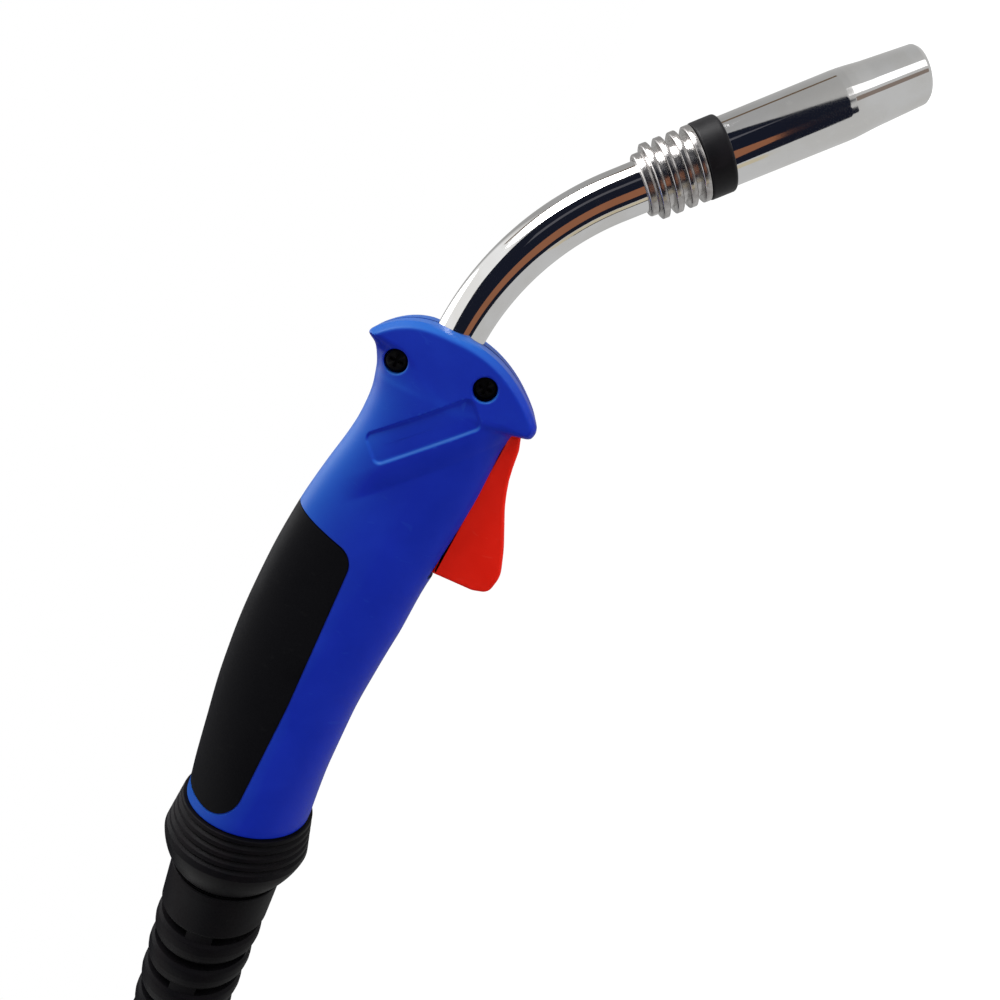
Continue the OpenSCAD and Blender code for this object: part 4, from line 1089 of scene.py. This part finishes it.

# studio: a pale floor, lamps round the object, and glowing cards that only metal and gloss see, which paint
# reflections
studio = {"floor": -0.34, "floorSize": 30.0, "white": 1.0, "ambient": 0.36, "paper": 0.75,
          "aim": (-0.06, 0, 0), "lamps": [
              ("key", (0.45, -0.12, 0.45), 0.45, 5.6, True), ("low", (0.42, -0.1, -0.24), 0.35, 1.3, False),
              ("back", (-0.12, 0.3, 0.6), 0.6, 2.5, True), ("fill", (-0.15, -0.75, 0.05), 0.5, 1.1, False)]}

# painted reflections: a glowing ball all round that only metal and gloss see, brighter towards the palm side
surround = {"radius": 9.0, "bright": (-0.5, 0.0, 0.87), "blue": 0.985,
            "steps": [(0.0, 0.60), (0.30, 0.60), (0.50, 0.40), (0.70, 0.42), (0.77, 1.0), (1.0, 1.0)]}

# painted reflections: glowing cards that only metal and gloss see. Their corners are degrees along the nozzle
# and up from it, as seen from its middle; the dark one has a twin on the far side, which stands off the axis
farShift = 50
reflectionCards = {
    # painted reflection: the dark band down the chrome
    "darkWall": {"radius": 8.0, "colour": (0.010, 0.012, 0.022), "sides": (-1, 1),
                 "corners": [(-30, 28), (-24, 48), (-8, 60), (13, 60), (18, 36), (21.5, 18), (25, 0),
                             (23, -16), (26.8, -38), (20, -50), (13, -54), (-15, -56), (-30, -36),
                             (-33, 0)]},
    "greyStreak": {"radius": 5.2, "colour": (0.10, 0.10, 0.115),
                   "corners": [(-6, 24), (-6, 33), (14, 34), (19, 28), (14, 25)]},
    "brownWall": {"radius": 5.0, "colour": (0.31, 0.125, 0.065),
                  "corners": [(2, -12), (6, -7), (13, -5), (18, -12), (18, -26), (13, -37), (5, -35),
                              (2, -27)]},
    "brownLine": {"radius": 5.0, "colour": (0.16, 0.11, 0.07),
                  "corners": [(-20, 98), (-20, 105), (22, 105), (22, 98)]},
    "beigeWall": {"radius": 5.4, "colour": (0.62, 0.55, 0.40),
                  "corners": [(-20, -57), (17, -56), (17, -69), (-20, -69)]},
    "thinDark": {"radius": 5.0, "colour": (0.04, 0.03, 0.03),
                 "corners": [(-10, -69), (15, -69), (15, -72.5), (-10, -72.5)]},
    # painted highlight: a bright card seen only in reflections, the white streak on the nozzle's taper
    "window": {"radius": 4.6, "colour": (1.6, 1.6, 1.6),
               "corners": [(25, 16), (25, 42), (52, 42), (52, 16)]},
    "tanWall": {"radius": 4.8, "colour": (0.26, 0.21, 0.18),
                "corners": [(27, -8), (27, 6), (52, 6), (52, -8)]},
}


def makeWorld():
    scene.world = bpy.data.worlds.new("studio")
    tree = bareTree(scene.world)
    path = tree.nodes.new('ShaderNodeLightPath').outputs
    seen = calc(tree, 'MAXIMUM', calc(tree, 'MAXIMUM', path["Is Camera Ray"], path["Is Glossy Ray"]),
                path["Is Transmission Ray"])
    grey = put(tree, 'ShaderNodeBackground', {"Color": (1, 1, 1, 1), "Strength": studio["ambient"]})
    white = put(tree, 'ShaderNodeBackground', {"Color": (1, 1, 1, 1), "Strength": studio["white"]})
    mixed = put(tree, 'ShaderNodeMixShader', {0: seen, 1: grey.outputs[0], 2: white.outputs[0]})
    put(tree, 'ShaderNodeOutputWorld', {"Surface": mixed.outputs[0]})


def makeFloor():
    half = studio["floorSize"] / 2
    corners = ((-half, -half), (half, -half), (half, half), (-half, half))
    floor = newPiece("floor", [(x, y, studio["floor"]) for x, y in corners], [(0, 1, 2, 3)])
    material = bpy.data.materials.new("paleFloor")
    tree = bareTree(material)
    path = tree.nodes.new('ShaderNodeLightPath').outputs
    below = tree.nodes.new('ShaderNodeNewGeometry').outputs["Backfacing"]
    matte = put(tree, 'ShaderNodeBsdfDiffuse', {"Color": (0.8, 0.8, 0.8, 1)})
    glow = put(tree, 'ShaderNodeEmission', {
        "Color": (1, 1, 1, 1), "Strength": calc(tree, 'MULTIPLY', path["Is Camera Ray"], studio["paper"])})
    both = put(tree, 'ShaderNodeAddShader', {0: matte.outputs[0], 1: glow.outputs[0]})
    clear = tree.nodes.new('ShaderNodeBsdfTransparent')
    mixed = put(tree, 'ShaderNodeMixShader', {0: below, 1: both.outputs[0], 2: clear.outputs[0]})
    put(tree, 'ShaderNodeOutputMaterial', {"Surface": mixed.outputs[0]})
    floor.data.materials.append(material)
    floor.visible_glossy = False


def glossOnly(obj):
    for rays in ("camera", "diffuse", "transmission", "shadow", "volume_scatter"):
        setattr(obj, "visible_" + rays, False)


def glowing(name):
    material = bpy.data.materials.new(name)
    tree = bareTree(material)
    glow = put(tree, 'ShaderNodeEmission')
    put(tree, 'ShaderNodeOutputMaterial', {"Surface": glow.outputs[0]})
    return material, tree, glow


# painted reflections: a glowing ball that only glossy rays see
def makeReflectionBall():
    value = surround
    form = bmesh.new()
    bmesh.ops.create_uvsphere(form, u_segments=48, v_segments=24, radius=value["radius"])
    ball = newPiece("surround", [], [])
    form.to_mesh(ball.data)
    form.free()
    material, tree, glow = glowing("reflectionBallGlow")
    where = tree.nodes.new('ShaderNodeTexCoord').outputs["Object"]
    towards = put(tree, 'ShaderNodeVectorMath', {0: where}, operation='NORMALIZE').outputs[0]
    facing = put(tree, 'ShaderNodeVectorMath', {0: towards, 1: value["bright"]}, operation='DOT_PRODUCT')
    place = calc(tree, 'MULTIPLY_ADD', facing.outputs["Value"], 0.5, 0.5)
    ramp = put(tree, 'ShaderNodeValToRGB', {0: place})
    points = ramp.color_ramp.elements
    while len(points) < len(value["steps"]):
        points.new(0.5)
    for point, (at, light) in zip(points, value["steps"]):
        point.position = at
        point.color = (light, light, light * value["blue"], 1)
    tree.links.new(ramp.outputs[0], glow.inputs["Color"])
    ball.data.materials.append(material)
    glossOnly(ball)


def makeReflectionCard(name, side):
    value = reflectionCards[name]
    b = math.radians(torch["bend"])
    points = []
    for along, up in value["corners"]:
        a, u = math.radians(along if side < 0 else along - farShift), math.radians(up)
        across, rise = math.cos(a) * math.cos(u), math.cos(a) * math.sin(u)
        points.append((math.sin(a) * math.cos(b) + rise * math.sin(b), side * across,
                       rise * math.cos(b) - math.sin(a) * math.sin(b)))
    points = np.array(points) * value["radius"]
    middle = points.mean(axis=0)
    middle *= value["radius"] / np.linalg.norm(middle)
    count = len(points)
    card = newPiece(name, np.vstack([points, middle]), [(k, (k + 1) % count, count) for k in range(count)])
    material, tree, glow = glowing(name)
    glow.inputs["Color"].default_value = tuple(value["colour"]) + (1,)
    card.data.materials.append(material)
    glossOnly(card)


def makeLamp(name, at, size, power, shines):
    data = bpy.data.lights.new(name, 'AREA')
    data.shape = 'DISK'
    data.size = size
    data.energy = power
    lamp = bpy.data.objects.new(name, data)
    lamp.location = at
    lamp.rotation_euler = (Vector(studio["aim"]) - Vector(at)).to_track_quat('-Z', 'Y').to_euler()
    lamp.visible_glossy = shines
    scene.collection.objects.link(lamp)


makeWorld()
makeFloor()
makeReflectionBall()
for name, value in reflectionCards.items():
    for side in value.get("sides", (-1,)):
        makeReflectionCard(name, side)
for lampValues in studio["lamps"]:
    makeLamp(*lampValues)
scene.view_settings.view_transform = 'Standard'
print("studio done")
